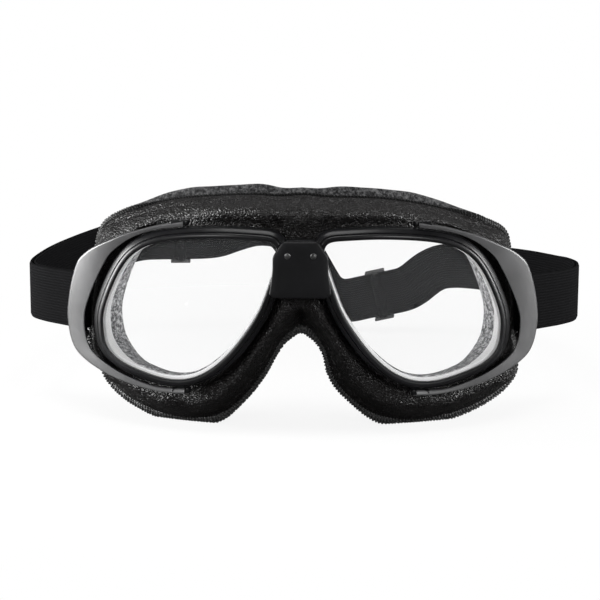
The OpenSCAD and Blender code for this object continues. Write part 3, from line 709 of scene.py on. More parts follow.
def cylinder_rows(x, y, z0, z1, r):
    """Rings of an upright cylinder with rounded ends."""
    bevel = 0.25
    sides = 24
    a = np.linspace(0, 2 * np.pi, sides, endpoint=False)
    steps = [(z0, r * 0.02), (z0, r - bevel), (z0 + bevel * 0.3, r - bevel * 0.3), (z0 + bevel, r),
             (z1 - bevel, r), (z1 - bevel * 0.3, r - bevel * 0.3), (z1, r - bevel), (z1, r * 0.02)]
    circle = np.stack([np.cos(a), np.sin(a), np.zeros(sides)], 1)
    return np.array([circle * q + [x, y, z] for z, q in steps])


print("cylinder:", cylinder_rows(0, 0, 0, 2, 1).shape[:2], "rings by points")

# %% [markdown]
# The hinges stand upright just outside the rims, one above and one below, so their heights follow
# from the rim's outline. The bridge's outline is a list of shares of its width and height.

# %% Where hinges and bridge sit
BRIDGE_TOP_Z = 83.5
BRIDGE_LOW_Z = 60.0
BRIDGE_H = BRIDGE_TOP_Z - BRIDGE_LOW_Z
BRIDGE_W = 23.0
BRIDGE_T = 1.7
COVER_D = -BEZEL_PROUD - AIR - BRIDGE_T  # depth of its front: it stands clear of the rims
WEB_FRONT_D = 2.0
HINGE_X = 49.5
HINGE_D = 5.4  # how far its pins sit behind the front
KNUCKLE_D = 5.0  # diameter of the hinge's knuckles and bosses
KNUCKLE_H = 2.1
BOSS_H = 1.9
HINGE_Y = float(wrap(HINGE_X)) + HINGE_D
rim_outline = opening + rim_width[:, None] * opening_normal
near_hinge = rim_outline[np.abs(rim_outline[:, 0] - HINGE_X) < 5, 1]
HINGE_TOP_Z = near_hinge.max() + AIR
HINGE_LOW_Z = near_hinge.min() - AIR
BRIDGE_SHAPE = [(-0.32, 1), (0.32, 1), (0.5, 0.74), (0.5, 0.5), (0.56, 0.06), (0.48, 0), (-0.48, 0),
                (-0.56, 0.06), (-0.5, 0.5), (-0.5, 0.74)]


def bridge_outline(width):
    """The bridge's outline with softened corners, as wide as given."""
    corners = [(x * width, BRIDGE_LOW_Z + z * BRIDGE_H) for x, z in BRIDGE_SHAPE]
    return rounded(corners, [1.2, 1.2, 1.5, 2.0, 0.6, 0.6, 0.6, 0.6, 2.0, 1.5], 4)


print(f"hinges at x {HINGE_X}, y {HINGE_Y:.1f}, z {HINGE_LOW_Z:.1f} and {HINGE_TOP_Z:.1f} mm")

# %% [markdown]
# Half of the moulding is built, mirrored, and joined by the web behind the bridge cover. The grids
# overlap inside the plastic, where nothing shows, instead of being cut into each other.

# %% The frame moulding
frame_shell = Shell()
frame_shell.grid(rim_rows(), True, True)
for z, way in ((HINGE_TOP_Z, -1), (HINGE_LOW_Z, 1)):
    ends = sorted((z, z + way * BOSS_H))
    frame_shell.grid(cylinder_rows(HINGE_X, HINGE_Y, *ends, KNUCKLE_D / 2), col_loop=True, flip=True)
frame_shell.mirrored()
frame_shell.grid(plate_grid(bridge_outline(BRIDGE_W * 0.86), WEB_FRONT_D, FRAME_D, 0.4), col_loop=True)
frame_shell.make("frame_moulding", FRAME_PLASTIC, "goggles", ["frame"], "frame_plastic", sharp=40)
print("frame moulding:", frame_shell.count, "points")

# %% [markdown]
# Inside each rim sits a retaining rim, behind it the curved lens, and behind that a gasket with
# a pale collar that reaches back to the lining. The rim and the gasket's flange are swept
# sections. The lens is rings shrunk towards its middle, because its rim has a small bevel.

# %% Sections of retaining rim and gasket, and the lens
bezel_section = rounded([(0, -BEZEL_PROUD), (BEZEL_W, -BEZEL_PROUD), (BEZEL_W, BEZEL_IN), (0, BEZEL_IN)],
                        [1.0, 1.35, 0.15, 0.15], 5)
flange_section = rounded([(-COLLAR_T, LENS_D + LENS_T + 0.02), (LENS_LAP, LENS_D + LENS_T + 0.02),
                          (LENS_LAP, SEAT_D), (-COLLAR_T, SEAT_D)], 0.15, 2)


def lens_grid():
    """Front and back of the lens as rings shrunk towards its middle, joined round the edge."""
    loop = opening + LENS_LAP * opening_normal
    centre = loop.mean(0)
    rows = []
    shares = (0.02, 0.2, 0.4, 0.6, 0.8, 0.92, 0.97)
    back = LENS_D + LENS_T
    front_rings = [(q, LENS_D) for q in shares]
    edge_rings = [(0.985, LENS_D + 0.05), (0.99, LENS_D + 0.3), (0.99, back - 0.3), (0.985, back - 0.05)]
    back_rings = [(q, back) for q in shares[::-1]]
    for share, d in front_rings + edge_rings + back_rings:
        p = centre + (loop - centre) * share
        rows.append(np.stack([p[:, 0], wrap(p[:, 0]) + d, p[:, 1]], 1))
    return np.array(rows)


print("lens:", lens_grid().shape[0], "rings of", lens_grid().shape[1], "points")

# The collar shows as a broad band at the temples only: elsewhere it is thin, and the lining covers it.
at_temple = ease((opening[:, 0] - 58) / 16) * (1 - 0.75 * ease((opening[:, 1] - 72) / 8))
below = ease((-opening_normal[:, 1] - 0.35) / 0.45) * ease((86 - opening[:, 0]) / 16)
collar_t = 0.3 + (COLLAR_T - 0.3) * np.maximum(at_temple, below)


def collar_grid():
    """The gasket's pale collar, from its flange back to the end of the frame on a tighter wrap."""
    rows = []
    for share, deep in ((1, 0), (1, 0.5), (1, 0.97), (0.7, 1), (0.35, 1), (FIT, 0.97), (FIT, 0.5), (FIT, 0)):
        p = opening - (share * collar_t)[:, None] * opening_normal
        x = p[:, 0]
        end = np.maximum(wrap(x) + SEAT_D, wrap(x, COLLAR_R) + FRAME_D)
        end = end + (wrap(x) + SEAT_D + 1.5 - end) * 0.9 * below
        y = (1 - deep) * (wrap(x) + SEAT_D - 0.1) + deep * end
        rows.append(np.stack([x, y, p[:, 1]], 1))
    return np.array(rows).transpose(1, 0, 2)


print(f"collar: {collar_t.min():.1f} to {collar_t.max():.1f} mm thick")

# %% [markdown]
# Left and right are separate nodes in the CAD model, so each gets its own object. A mirrored mesh
# needs its faces and UVs turned round as well, which a negative scale would leave inside out.

# %% Rims, lenses and gaskets, left and right
def side_piece(shell, name, side, *args, **kw):
    """Makes a piece for one side: side is 1 on the picture's right and -1 on its left."""
    s = Shell()
    s.verts, s.faces, s.uvs, s.count = list(shell.verts), list(shell.faces), list(shell.uvs), shell.count
    if side < 0:
        s.verts = [v * [-1, 1, 1] for v in s.verts]
        s.faces = [f[::-1] for f in s.faces]
        uv = np.concatenate(s.uvs)
        cuts = np.cumsum([len(f) for f in s.faces])[:-1]
        s.uvs = [np.concatenate([part[::-1] for part in np.split(uv, cuts)])]
    return s.make(name, *args, **kw)


SIDES = (("left", -1), ("right", 1))
bezel = Shell().grid(ring_grid(opening, opening_normal, bezel_section), True, True)
lens = Shell().grid(lens_grid(), col_loop=True)
gasket = Shell()
flange = ring_grid(opening, opening_normal, flange_section)
inside = flange_section[:, 0] < 0
shift = opening_normal * (COLLAR_T - collar_t)[:, None]
flange[:, inside, 0] += shift[:, :1]
flange[:, inside, 2] += shift[:, 1:]
gasket.grid(flange, True, True)
gasket.grid(collar_grid(), True, True)
RIM_PIECES = (
    (bezel, "rim_ring", RIM_PLASTIC, "bezel", "rim_plastic", 50),
    (lens, "lens_plate", LENS, "lens", "lens", 40),
    (gasket, "gasket_collar", GASKET, "lens_gasket", "gasket", 50))
for word, side in SIDES:
    for shell, name, material, cad_node, slot, sharp in RIM_PIECES:
        nodes = [f"{cad_node}_{word}"]
        side_piece(shell, f"{name}_{word}", side, material, "goggles", nodes, slot, sharp=sharp)


# %% [markdown]
# The bridge cover is a bevelled plate on a stem, held by two screws in recesses. It stands in front
# of the rims, so it also hides where they meet. Each screw head is a low dome of rings with a ring
# of shade round it, which at this size says more than a slot would.

# %% The bridge cover and its screws
BRIDGE_SCREW_GAP = 10.6
BRIDGE_HEAD_D = 3.0
BRIDGE_HEAD_H = 0.9
cover = Shell()
cover.grid(plate_grid(bridge_outline(BRIDGE_W), COVER_D, COVER_D + BRIDGE_T, 0.6, rings=6), col_loop=True)
STEM = 4.1  # half the stem's width
stem_low, stem_top = BRIDGE_LOW_Z + 1, BRIDGE_TOP_Z - 2
stem = rounded([(-STEM, stem_low), (STEM, stem_low), (STEM, stem_top), (-STEM, stem_top)], 0.6)
cover.grid(plate_grid(stem, COVER_D + BRIDGE_T * 0.6, WEB_FRONT_D - 0.05, 0.1), col_loop=True)
cover.make("bridge_plate", COVER_PLASTIC, "goggles", ["bridge_cover"], "rim_plastic", sharp=35)


def screw_head(x, z, d, r, h):
    """A low domed head facing the viewer, with a ring of shade where it sits in its recess."""
    a = np.linspace(0, 2 * np.pi, 24, endpoint=False)
    circle = np.stack([np.cos(a), np.zeros(24), np.sin(a)], 1)
    dome = ((0.02, 0.0), (0.3, 0.05), (0.62, 0.12), (0.85, 0.22), (1.0, 0.42), (1.0, h), (0.02, h))
    return np.array([circle * share * r + [x, d + rise, z] for share, rise in dome])


screws = Shell()
for side in (-1, 1):
    x = side * BRIDGE_SCREW_GAP / 2
    head = screw_head(x, BRIDGE_LOW_Z + 0.75 * BRIDGE_H, COVER_D - 0.15, BRIDGE_HEAD_D / 2, BRIDGE_HEAD_H)
    screws.grid(head, col_loop=True)
screws.make("bridge_screw_heads", STEEL, "goggles", ["bridge_screws"], "screw_steel", sharp=40)
print("bridge cover:", cover.count, "points; screws:", screws.count, "points")

# %% [markdown]
# The cushion is a ring of leather, foam and fleece round the openings. A cloth simulation could
# puff it up, but it is clamped, padded and sewn into its shape, so a section that changes round the
# outline follows the photograph more closely. Column i runs from point i of the opening to point i
# of the outer edge, and s is the distance along it. free_edge is 1 where the outer edge is free and
# falls to 0 on the middle plane, where both halves meet.

# %% The cushion's columns
PAD_D = FRAME_D + AIR  # where the leather starts
LEATHER_T = 1.4
FLEECE_T = 2.4
CARRIER_D = PAD_D + LEATHER_T + AIR  # the ring that clamps the leather
CARRIER_T = 1.5
CARRIER_OUT = 4.4
CLAMP_IN = 3.1
HEAD_ROOM = 1.9
BEHIND_CARRIER = CARRIER_D + CARRIER_T + HEAD_ROOM
EDGE_D = 25.0  # depth of the sewn edge
FACE_D = 34.0  # depth of the side on the face
BELLY = 3.5  # how far the leather bellies forward
EDGE_IN = -1.5
ROLL_OUT = 2.4  # the fleece's roll over the brow
TEMPLE_LEAN = 5.0
LINING_IN = 0.8

reach = np.linalg.norm(skin - opening, axis=1)
column = (skin - opening) / reach[:, None]
free_edge = np.max([np.clip(1 + skin[:, 0] / 5, 0, 1), np.clip((skin[:, 1] - 88) / 10, 0, 1),
                    np.clip((50 - skin[:, 1]) / 6, 0, 1)], 0)
topness = np.clip((skin[:, 1] - 70) / 20, 0, 1) * free_edge
flat_to = np.minimum(1.25 * (CARRIER_OUT + AIR), reach - 1.4)


def pad_x(s):
    """Distance from the middle plane at s."""
    return np.clip(opening[:, 0] + s * column[:, 0], 0, 100)


def pad_point(s, y, lean=0.0):
    """Points at distance s and depth y in every column, kept off the middle plane and the table."""
    x = np.maximum(opening[:, 0] + s * column[:, 0] - lean, 0)
    z = np.maximum(opening[:, 1] + s * column[:, 1], 0)
    return np.stack([x, y + np.zeros(len(x)), z], 1)


def past(s):
    """How far s is from the flat margin to the outline, 0 to 1."""
    return np.clip((s - flat_to) / (reach - flat_to), 0, 1)


def front_y(s):
    """Depth of the leather's front: it falls back from the frame with past(s)^2.2."""
    return wrap(pad_x(s)) + PAD_D + (EDGE_D - BELLY - PAD_D) * past(s) ** 2.2 * free_edge


def face_y(s):
    """Depth of the side that lies on the face."""
    return FACE_D + wrap(pad_x(s), FACE_R)


edge_y = wrap(pad_x(reach)) + PAD_D + (EDGE_D - PAD_D) * free_edge
print(f"cushion: {reach.min():.1f} to {reach.max():.1f} mm wide round the opening")

# %% [markdown]
# What the photograph shows beyond the plain section: the sides are full, the temples swell out
# behind the outriggers, and the sewn roll is thicker along the lobes. Each is a smooth bump
# in x and z, made of `ease`, so it fades without a step.

# %% Fullness of sides and temples
side_fullness = ease((skin[:, 0] - 82) / 9) * (1.0 + 2.7 * ease((np.abs(skin[:, 1] - STRAP_Z) - 15) / 4))
temple_out = 3.2 * ease((skin[:, 1] - 22) / 7) * (1 - ease((skin[:, 1] - 62) / 6))
temple_out = temple_out + 1.8 * ease((skin[:, 1] - 22) / 6) * (1 - ease((skin[:, 1] - 34) / 3))
temple_out = temple_out * ease((skin[:, 0] - 84) / 8)
low_edge = ease((70 - skin[:, 1]) / 16)
roll_r = np.minimum(1.35 + 0.75 * low_edge, 0.2 * (reach - flat_to) + 0.75)
groove_in = np.minimum(2.1 * roll_r, 0.45 * (reach - flat_to))
print(f"sewn roll: radius {roll_r.min():.2f} to {roll_r.max():.2f} mm")

# %% [markdown]
# The leather starts flat under the clamp, puffs forward to a crest, falls into the groove beside
# the sewn roll, and turns under to the lining. Its back follows at the leather's thickness, so the
# piece is a closed shell. The crest lies further out over the brow, which leaves the dark valley
# beside the frame.

# %% The leather's section
def leather_rows():
    """Front of the leather from the clamp to the groove beside the sewn roll, then under the roll to the
    edge, and its back. With c = 1 - (1 - t^2)^0.62 the depth grows with c, and the sides swell outwards
    by side_fullness * sin(pi c^0.7)."""
    puff = np.clip(0.36 * (reach - flat_to), 0, 4.4) * np.clip(free_edge, 0, 1)
    puff = puff * (1 - 0.6 * np.exp(-(((skin[:, 0] - HINGE_X) / 8) ** 2)))
    late = 0.85 + 0.55 * ease((skin[:, 1] - 84) / 6) * (1 - ease((skin[:, 0] - 62) / 14))
    rows = []
    for s in (CLAMP_IN, 0.55 * CLAMP_IN + 0.45 * flat_to.mean()):
        rows.append(pad_point(s, front_y(s)))
    for t in np.linspace(0, 1, 19):
        crown = 1 - (1 - t**2.0) ** 0.62
        s = flat_to + t * (reach - groove_in - flat_to) + side_fullness * math.sin(math.pi * crown**0.7)
        y = wrap(pad_x(s)) + PAD_D + 0.93 * (EDGE_D - BELLY - PAD_D) * crown * free_edge
        s = s + temple_out * ease((crown - 0.7) / 0.3)
        rows.append(pad_point(s, y - puff * np.sin(math.pi * t**late)))
    turn_y = np.maximum(edge_y - 0.8, front_y(reach) + 0.4)
    for t in (0.3, 0.6, 0.85, 1.0):
        s = reach - groove_in * (1 - t) + EDGE_IN * t**2 + temple_out * (1 - 0.5 * t)
        rows.append(pad_point(s, (1 - t) * (front_y(reach) + 1.2) + t * turn_y))
    for t in (0.95, 0.7, 0.4, 0.1):
        s = flat_to + t * (reach - flat_to) - 0.9 * t
        rows.append(pad_point(s, front_y(s) + LEATHER_T))
    rows.append(pad_point(CLAMP_IN, front_y(np.full(len(reach), CLAMP_IN)) + LEATHER_T))
    return np.array(rows).transpose(1, 0, 2)


print("leather:", leather_rows().shape, "columns by section points")

# %% [markdown]
# Leather gathers in folds where it is pulled round a bend: they fan out over the bridge and
# pucker along the lobes. They are geometry and not bump, because they show in the outline and
# in the mesh.

# %% Folds of the leather
def leather_relief(g):
    """Folds of the leather: creases fanning from the middle over the bridge, puckers along the sewn
    edge and a slow unevenness. Returned as millimetres towards the viewer."""
    x, y, z = g[..., 0], g[..., 1], g[..., 2]
    top = ease((z - 80) / 8)
    angle = np.arctan2(z - 72, x + 0.5)
    near = np.exp(-((x / 24) ** 2))
    fan = 0.7 * np.sin(angle * 17 + 0.6 * np.sin(x / 3)) * near * top * ease((z - 84) / 4)
    low = ease((46 - z) / 20)
    slow = (0.45 + 0.35 * low) * ripple(x, y, z, 24, 3) + 0.25 * ripple(x, y, z, 9, 4)
    wrinkles = 0.35 * ripple(x, y, z * 1.8, 7, 5) * low
    return fan + slow + wrinkles


def with_relief(g):
    """The leather's grid with the folds added to the rows of its front."""
    rows = g.shape[1]
    j = np.arange(rows)
    weight = ease(j / 5) * (j < 21) * ease((21 - j) / 3)
    width = np.clip(reach / 8, 0.15, 1) * np.clip(free_edge, 0.1, 1)
    out = g.copy()
    out[..., 1] -= leather_relief(g) * weight[None, :] * width[:, None]
    return out


print(f"folds up to {np.abs(leather_relief(leather_rows())).max():.1f} mm")

# %% [markdown]
# The lining wraps the face side: from the sewn edge it rolls over the brow, runs across to the
# opening, turns in along it and comes back inside. Thirteen points give this section in every
# column, and one closed Catmull-Rom curve smooths them all at once.

# %% The fleece lining
def fleece_rows():
    """The lining's thirteen-point section, smoothed, in every column."""
    l = reach
    e = np.maximum(edge_y + 2.4, wrap(pad_x(l)) + BEHIND_CARRIER)
    f = face_y(l * 0.95)
    x = opening[:, 0]
    hump = 0.75 + 0.35 * np.exp(-(((x - 40) / 16) ** 2))
    r = ROLL_OUT + 0.7 * ripple(skin[:, 0], 0, skin[:, 1], 26, 8)
    r = r * topness * hump * (1 - ease((x - 44) / 26))
    g = BEHIND_CARRIER - HEAD_ROOM + np.maximum(wrap(x, COLLAR_R), wrap(x) + HEAD_ROOM)
    n = TEMPLE_LEAN * np.clip((x - 50) / 36, 0, 1)
    flare = 5.0 * below
    lip = LINING_IN - (LINING_IN + 1.1) * below
    g = g + (wrap(x) + SEAT_D + 1.0 - g) * 0.8 * below
    inner = LINING_IN + (FLEECE_T - 1.0 * below)
    last = np.maximum(l - 3.4, np.maximum(l - 4.6, FLEECE_T + AIR + 1.5) + 0.4)
    rows = [
        pad_point(l + EDGE_IN - 0.4, e),
        pad_point(l + r - 0.5, e + 1),
        pad_point(l + r, e + 0.35 * (f - e)),
        pad_point(l + r - 1.4, e + 0.7 * (f - e)),
        pad_point(0.9 * l, f - 0.5),
        pad_point(0.7 * l, face_y(0.7 * l) + 0.6, 0.2 * n),
        pad_point(0.35 * l, face_y(0.35 * l) + 0.4, 0.6 * n),
        pad_point(lip + flare, face_y(LINING_IN) - 3, n),
        pad_point(lip, g),
        pad_point(lip + (inner - lip) * (1 - 0.7 * below), g),
        pad_point(inner + flare, face_y(LINING_IN) - 4.5, 0.9 * n),
        pad_point(0.35 * l + 1.2, face_y(0.35 * l + 1.2) - FLEECE_T, 0.5 * n),
        pad_point(last, np.maximum(e + 1, face_y(l - 3.4) - FLEECE_T))]
    k = np.array(rows)
    p = spline(k.reshape(len(k), -1), 4, closed=True)
    p = p.reshape(-1, *k.shape[1:]).transpose(1, 0, 2)
    p[..., 0] = np.maximum(p[..., 0], 0)
    p[..., 2] = np.maximum(p[..., 2], 0)
    return p


print("lining:", fleece_rows().shape, "columns by section points")

# %% [markdown]
# The foam fills what leather and lining leave. It is hidden, so it follows the CAD and stays
# coarse.

# %% The foam
def foam_rows():
    """The foam between leather and lining, as in the CAD."""
    start = FLEECE_T + AIR + 0.9 + 3.5 * below
    end = np.maximum(reach - 4.6, start + 0.6)
    near_middle = skin[:, 0] < 8

    def front(s):
        held = np.where((s < 1.4 * CARRIER_OUT) | near_middle, wrap(pad_x(s)) + BEHIND_CARRIER, 0)
        return np.maximum(front_y(s + 1.3) + LEATHER_T + 2 * AIR, held)

    steps = [start + t * (end - start) for t in (0, 0.35, 0.7, 1)]
    rows = [pad_point(s, front(s)) for s in steps]
    rows += [pad_point(s, np.maximum(face_y(s) - FLEECE_T - 2.3, front(s) + 0.8)) for s in steps[::-1]]
    return np.array(rows).transpose(1, 0, 2)


print("foam:", foam_rows().shape, "columns by section points")

# %% [markdown]
# No cushion is quite even once it has been worn. The photograph shows the right lobe fuller, one
# brow lower and the nose arch higher than a mirrored half would be, so the finished halves are
# moved a little, and not at all where the rigid frame clamps them.

# %% The cushion's own unevenness
def settle(p):
    """Lays the soft cushion as the photograph shows it, not quite even: below, x' = x + k w (|x| - 50), with
    k = 0.11 on +X and -0.03 on -X; the nose arch and one brow rise, the other brow sinks. w is 0 where
    the frame clamps the cushion, and grows over 8 mm."""
    p = np.array(p, float)
    x = p[..., 0]
    z = p[..., 2]
    outline = opening[::4]
    away = np.sqrt(((np.stack([np.abs(x), z], -1)[..., None, :] - outline) ** 2).sum(-1)).min(-1)
    w = ease((away - 5) / 8)
    fuller = np.where(x > 0, 0.11 * ease((34 - z) / 18), -0.03 * ease((46 - z) / 22))
    fuller = fuller * (np.abs(x) - 50) * ease(np.abs(x) / 12)
    arch = 2.4 * np.exp(-((x / 9) ** 2)) * ease((z - 30) / 8) * ease((56 - z) / 8)
    sunk = -2.2 * ease((x - 30) / 45) * ease((z - 78) / 12)
    raised = 1.0 * ease((-x - 5) / 15) * (1 - ease((-x - 55) / 20)) * ease((z - 88) / 6)
    p[..., 0] = x + w * fuller * np.sign(x)
    p[..., 2] = np.maximum(z + w * (arch + sunk + raised), 0)
    return p


print("point (80, 30, 10) settles to", settle(np.array([80.0, 30.0, 10.0])).round(2))

# %% [markdown]
# The three layers are made alike: one half, its mirror image, the unevenness, then a weld on the
# middle plane.

# %% Leather, fleece and foam
def pad_piece(rows, name, material, replaces, slot):
    """Both halves of a ring round the openings, joined where they meet on the middle plane."""
    half = Shell().grid(rows, True, True)
    half.mirrored()
    half.verts = [settle(np.concatenate(half.verts))]
    obj = half.make(name, material, None, [], slot)
    face_outwards(obj.data, weld=2e-5)
    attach(obj, "goggles")
    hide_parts(*replaces)
    return obj


pad_piece(with_relief(leather_rows()), "cushion_leather", LEATHER, ["leather_cover"], "leather")
pad_piece(fleece_rows(), "cushion_fleece", FLEECE, ["fleece_lining"], "fleece")
pad_piece(foam_rows(), "cushion_foam", FOAM, ["foam_pad"], "foam")

# %% [markdown]
# The cushion's edge is overlocked: a roll of gathered leather, wound with separate slanted
# stitches. A texture would look flat in the outline, so each stitch is a short tube round the
# roll. First comes the tube, with a way to run once round the whole cushion.

# %% Tubes, and once round the cushion
def tube_grid(path, r, sides, closed):
    """Rings round a path: centre + r (cos a * u + sin a * w), with u and w square to the path."""
    t = tangents(path, closed)
    u = unit(np.cross(t, [0.0, 1.0, 0.0]))
    w = np.cross(u, t)
    a = np.linspace(0, 2 * np.pi, sides, endpoint=False)[None, :, None]
    r = np.broadcast_to(r, len(path))[:, None, None]
    return path[:, None] + r * (np.cos(a) * u[:, None] + np.sin(a) * w[:, None])


def whole_round(values, keep):
    """A right half's rows and their mirror image in X, as one closed run round the cushion."""
    half = values[keep]
    mirror = half[::-1] * ([-1, 1, 1] if half.ndim > 1 else 1)
    return np.concatenate([half, mirror])


print("half a run of", len(reach), "columns gives", len(whole_round(reach, np.arange(len(reach)))))

# %% [markdown]
# The roll lies along the leather's edge. It sinks behind the leather over the brow, where the
# photograph shows only a dark line, and is thinner and drawn in at the nose, where the two lobes
# come close to each other.

# %% The roll's path
edge_columns = np.arange(len(reach))
edge_columns = edge_columns[skin[:, 0] > 0.4]
edge_loop = np.concatenate([skin[edge_columns], skin[edge_columns[:1]]])
gap_after = np.argmax(np.abs(np.diff(edge_loop, axis=0)).sum(1))
edge_columns = np.roll(edge_columns, -(gap_after + 1))
nose_side = ease((36 - skin[:, 0]) / 10) * ease((40 - skin[:, 1]) / 10)
roll_r = roll_r * (1 - 0.35 * nose_side)
top_hidden = ease((skin[:, 1] - 91) / 4) * (1 - ease((skin[:, 0] - 60) / 14))
roll_s = reach - roll_r + 0.25 - 0.7 * nose_side - 1.2 * top_hidden + temple_out
roll_y = front_y(reach) - 0.15 * roll_r + 2.6 * top_hidden
roll_centre = settle(whole_round(pad_point(roll_s, roll_y), edge_columns))
roll_radius = whole_round(roll_r, edge_columns)
roll_centre[:, 2] = np.maximum(roll_centre[:, 2], roll_radius + 0.05)
roll_loop = np.concatenate([roll_centre, roll_centre[:1]])
roll_length = arc_length(roll_loop)
print(f"sewn roll: {roll_length[-1]:.0f} mm long")

# %% The roll itself
PITCH = 1.4  # from stitch to stitch
SLANT = 2.3  # how far a stitch runs on along the seam
THREAD_R = 0.42


def roll_point(distance):
    """The roll's centre at distances along it."""
    d = distance % roll_length[-1]
    return np.stack([np.interp(d, roll_length, roll_loop[:, k]) for k in range(3)], -1)


def along_roll(distance):
    """Centre, radius and outward direction of the roll at distances along it."""
    d = np.asarray(distance)
    r = np.interp(d % roll_length[-1], roll_length, np.append(roll_radius, roll_radius[0]))
    e = 0.8
    t = unit(roll_point(d + e) - roll_point(d - e))
    out = unit(np.cross(t, [0.0, 1.0, 0.0]) * [1, 0, 1])
    return roll_point(d), r, out


loop_x, loop_z = roll_loop[:-1, 0], roll_loop[:-1, 2]
area = (loop_x * np.roll(loop_z, -1) - np.roll(loop_x, -1) * loop_z).sum()
OUT_SIGN = 1 if area > 0 else -1
core_at = np.linspace(0, roll_length[-1], int(roll_length[-1] / 1.1), endpoint=False)
core_c, core_r, _ = along_roll(core_at)
lumps = 0.12 * ripple(core_c[:, 0], core_c[:, 1], core_c[:, 2], 5, 21)
edging = Shell().grid(tube_grid(core_c, core_r - 0.02 + lumps, 12, True), True, True)
print("roll:", edging.count, "points")

# %% [markdown]
# A stitch goes from the groove on the front, over the roll, to behind the edge, and moves on a
# little along the seam. Angles, lengths and thicknesses vary slightly and are drawn from a
# seeded generator, so the seam looks sewn by hand and comes out the same each time.

# %% The stitches
def stitch(start, g):
    """One stitch: c + r' (sin a * out - cos a * forward), a from the groove at -115 degrees round the
    front at 0 to behind the edge at 125, while it slants along the seam."""
    q = np.linspace(0, 1, 11)
    c, r, out = along_roll(start + SLANT * (1 + 0.08 * g.normal()) * q)
    a = np.radians(-115 + 240 * q)[:, None]
    bury = 0.55 * THREAD_R * (2 * np.abs(q - 0.5)) ** 6
    lift = (r + 0.25 * THREAD_R + 0.05 * g.random() - bury)[:, None]
    return c + lift * (np.sin(a) * out * OUT_SIGN + np.cos(a) * [0.0, -1.0, 0.0])


g = np.random.default_rng(5)
for k in range(int(roll_length[-1] / PITCH)):
    p = stitch((k + 0.10 * g.normal()) * PITCH, g)
    tube = tube_grid(p, THREAD_R * (1 + 0.08 * g.normal()), 6, False)
    tube[..., 2] = np.maximum(tube[..., 2], 0)
    edging.grid(tube, False, True, caps=True)
edging.make("edge_stitching", THREAD, "goggles", ["overlock_seam"], "thread")
print("stitches:", int(roll_length[-1] / PITCH))

# %% [markdown]
# An outrigger is a C-shaped strip that swings on two pins beside the rim and carries the strap.
# It is a sweep between two drawn edges, relative to the hinge, because its width changes all
# the way. The section is rounded, and its outer edge stands further forward, which gives the light
# band in the photograph.

# %% The outrigger's arm
OUTRIGGER_T = 2.8
ARM_D = 0.6  # depth of the arm behind the front
BAR_D = 3.0  # diameter of the bar that holds the strap
BAR_X = 98.0
BAR_BACK = 12.0
BAR_PLAY = 1.5
BAR_END = 0.5
LUG_H = 2.4
LUG_W = 4.0
LUG_PAST = 2.2
ARM_OUTER = [
    (0, 90.2), (10, 88.4), (18, 86.1), (26.5, 83.2), (33.5, 80), (40.5, 76.6), (46, 72.8), (49.8, 68.3),
    (53.3, 58), (55.2, 47), (55.1, 41), (53.9, 34.5), (51.5, 29.6), (47.5, 26.2), (41.5, 23.1),
    (33.5, 20.2), (24, 18), (12.5, 16.4), (5.5, 16.2), (0, 16.5)]
ARM_INNER = [
    (0, 88.1), (10, 86.6), (18.1, 84.2), (24.5, 81.1), (29.1, 77.8), (33.1, 74.2), (36, 70), (41.5, 59.5),
    (45.8, 48.5), (46.5, 42), (45.9, 36), (44.1, 31.4), (40.5, 28), (34.9, 24.9), (28.9, 22.3),
    (19.2, 19.5), (11, 18.2), (0, 18.6)]


def arm_grid():
    """The arm's closed sections: w runs from the inner edge 0 to the outer edge 1, d is the depth."""
    n = 150
    outer = evenly(spline(ARM_OUTER, 8), n) + [HINGE_X, 0]
    inner = evenly(spline(ARM_INNER, 8), n) + [HINGE_X, 0]
    across = outer - inner
    width = np.linalg.norm(across, axis=1)
    u = across / width[:, None]
    rows = []
    for k in range(n):
        w = width[k]
        r = min(0.9, 0.45 * w)
        corners = [(0, 0.75), (w, 0), (w, OUTRIGGER_T), (0, OUTRIGGER_T)]
        section = rounded(corners, [0.6 * r, r, 0.5 * r, 0.3 * r], 4)
        p = inner[k] + section[:, :1] * u[k]
        rows.append(np.stack([p[:, 0], wrap(p[:, 0]) + ARM_D + section[:, 1], p[:, 1]], 1))
    return np.array(rows)


print("arm:", arm_grid().shape, "sections by section points")

# %% [markdown]
# Knuckles join the arm to its pins and lugs hold the strap's bar. They are plain blocks with
# bevelled edges and cylinders, black like the frame, while the arm itself is dark grey.

# %% Knuckles, lugs and bar
def block_grid(x0, x1, y0, y1, z0, z1, bevel=0.3):
    """A block with bevelled edges, as rings from its underside to its top."""
    corners = rounded([(x0, y0), (x1, y0), (x1, y1), (x0, y1)], bevel * 1.5, 3)
    middle = corners.mean(0)
    rows = []
    for z, share in ((z0, 0.05), (z0, 1), (z0 + bevel, 1.0), (z1 - bevel, 1.0), (z1, 1), (z1, 0.05)):
        edge = z in (z0, z1) and share == 1
        inset = corners - bevel * unit(corners - middle) if edge else corners
        p = middle + (inset - middle) * share
        rows.append(np.stack([p[:, 0], p[:, 1], np.full(len(p), z)], 1))
    return np.array(rows)


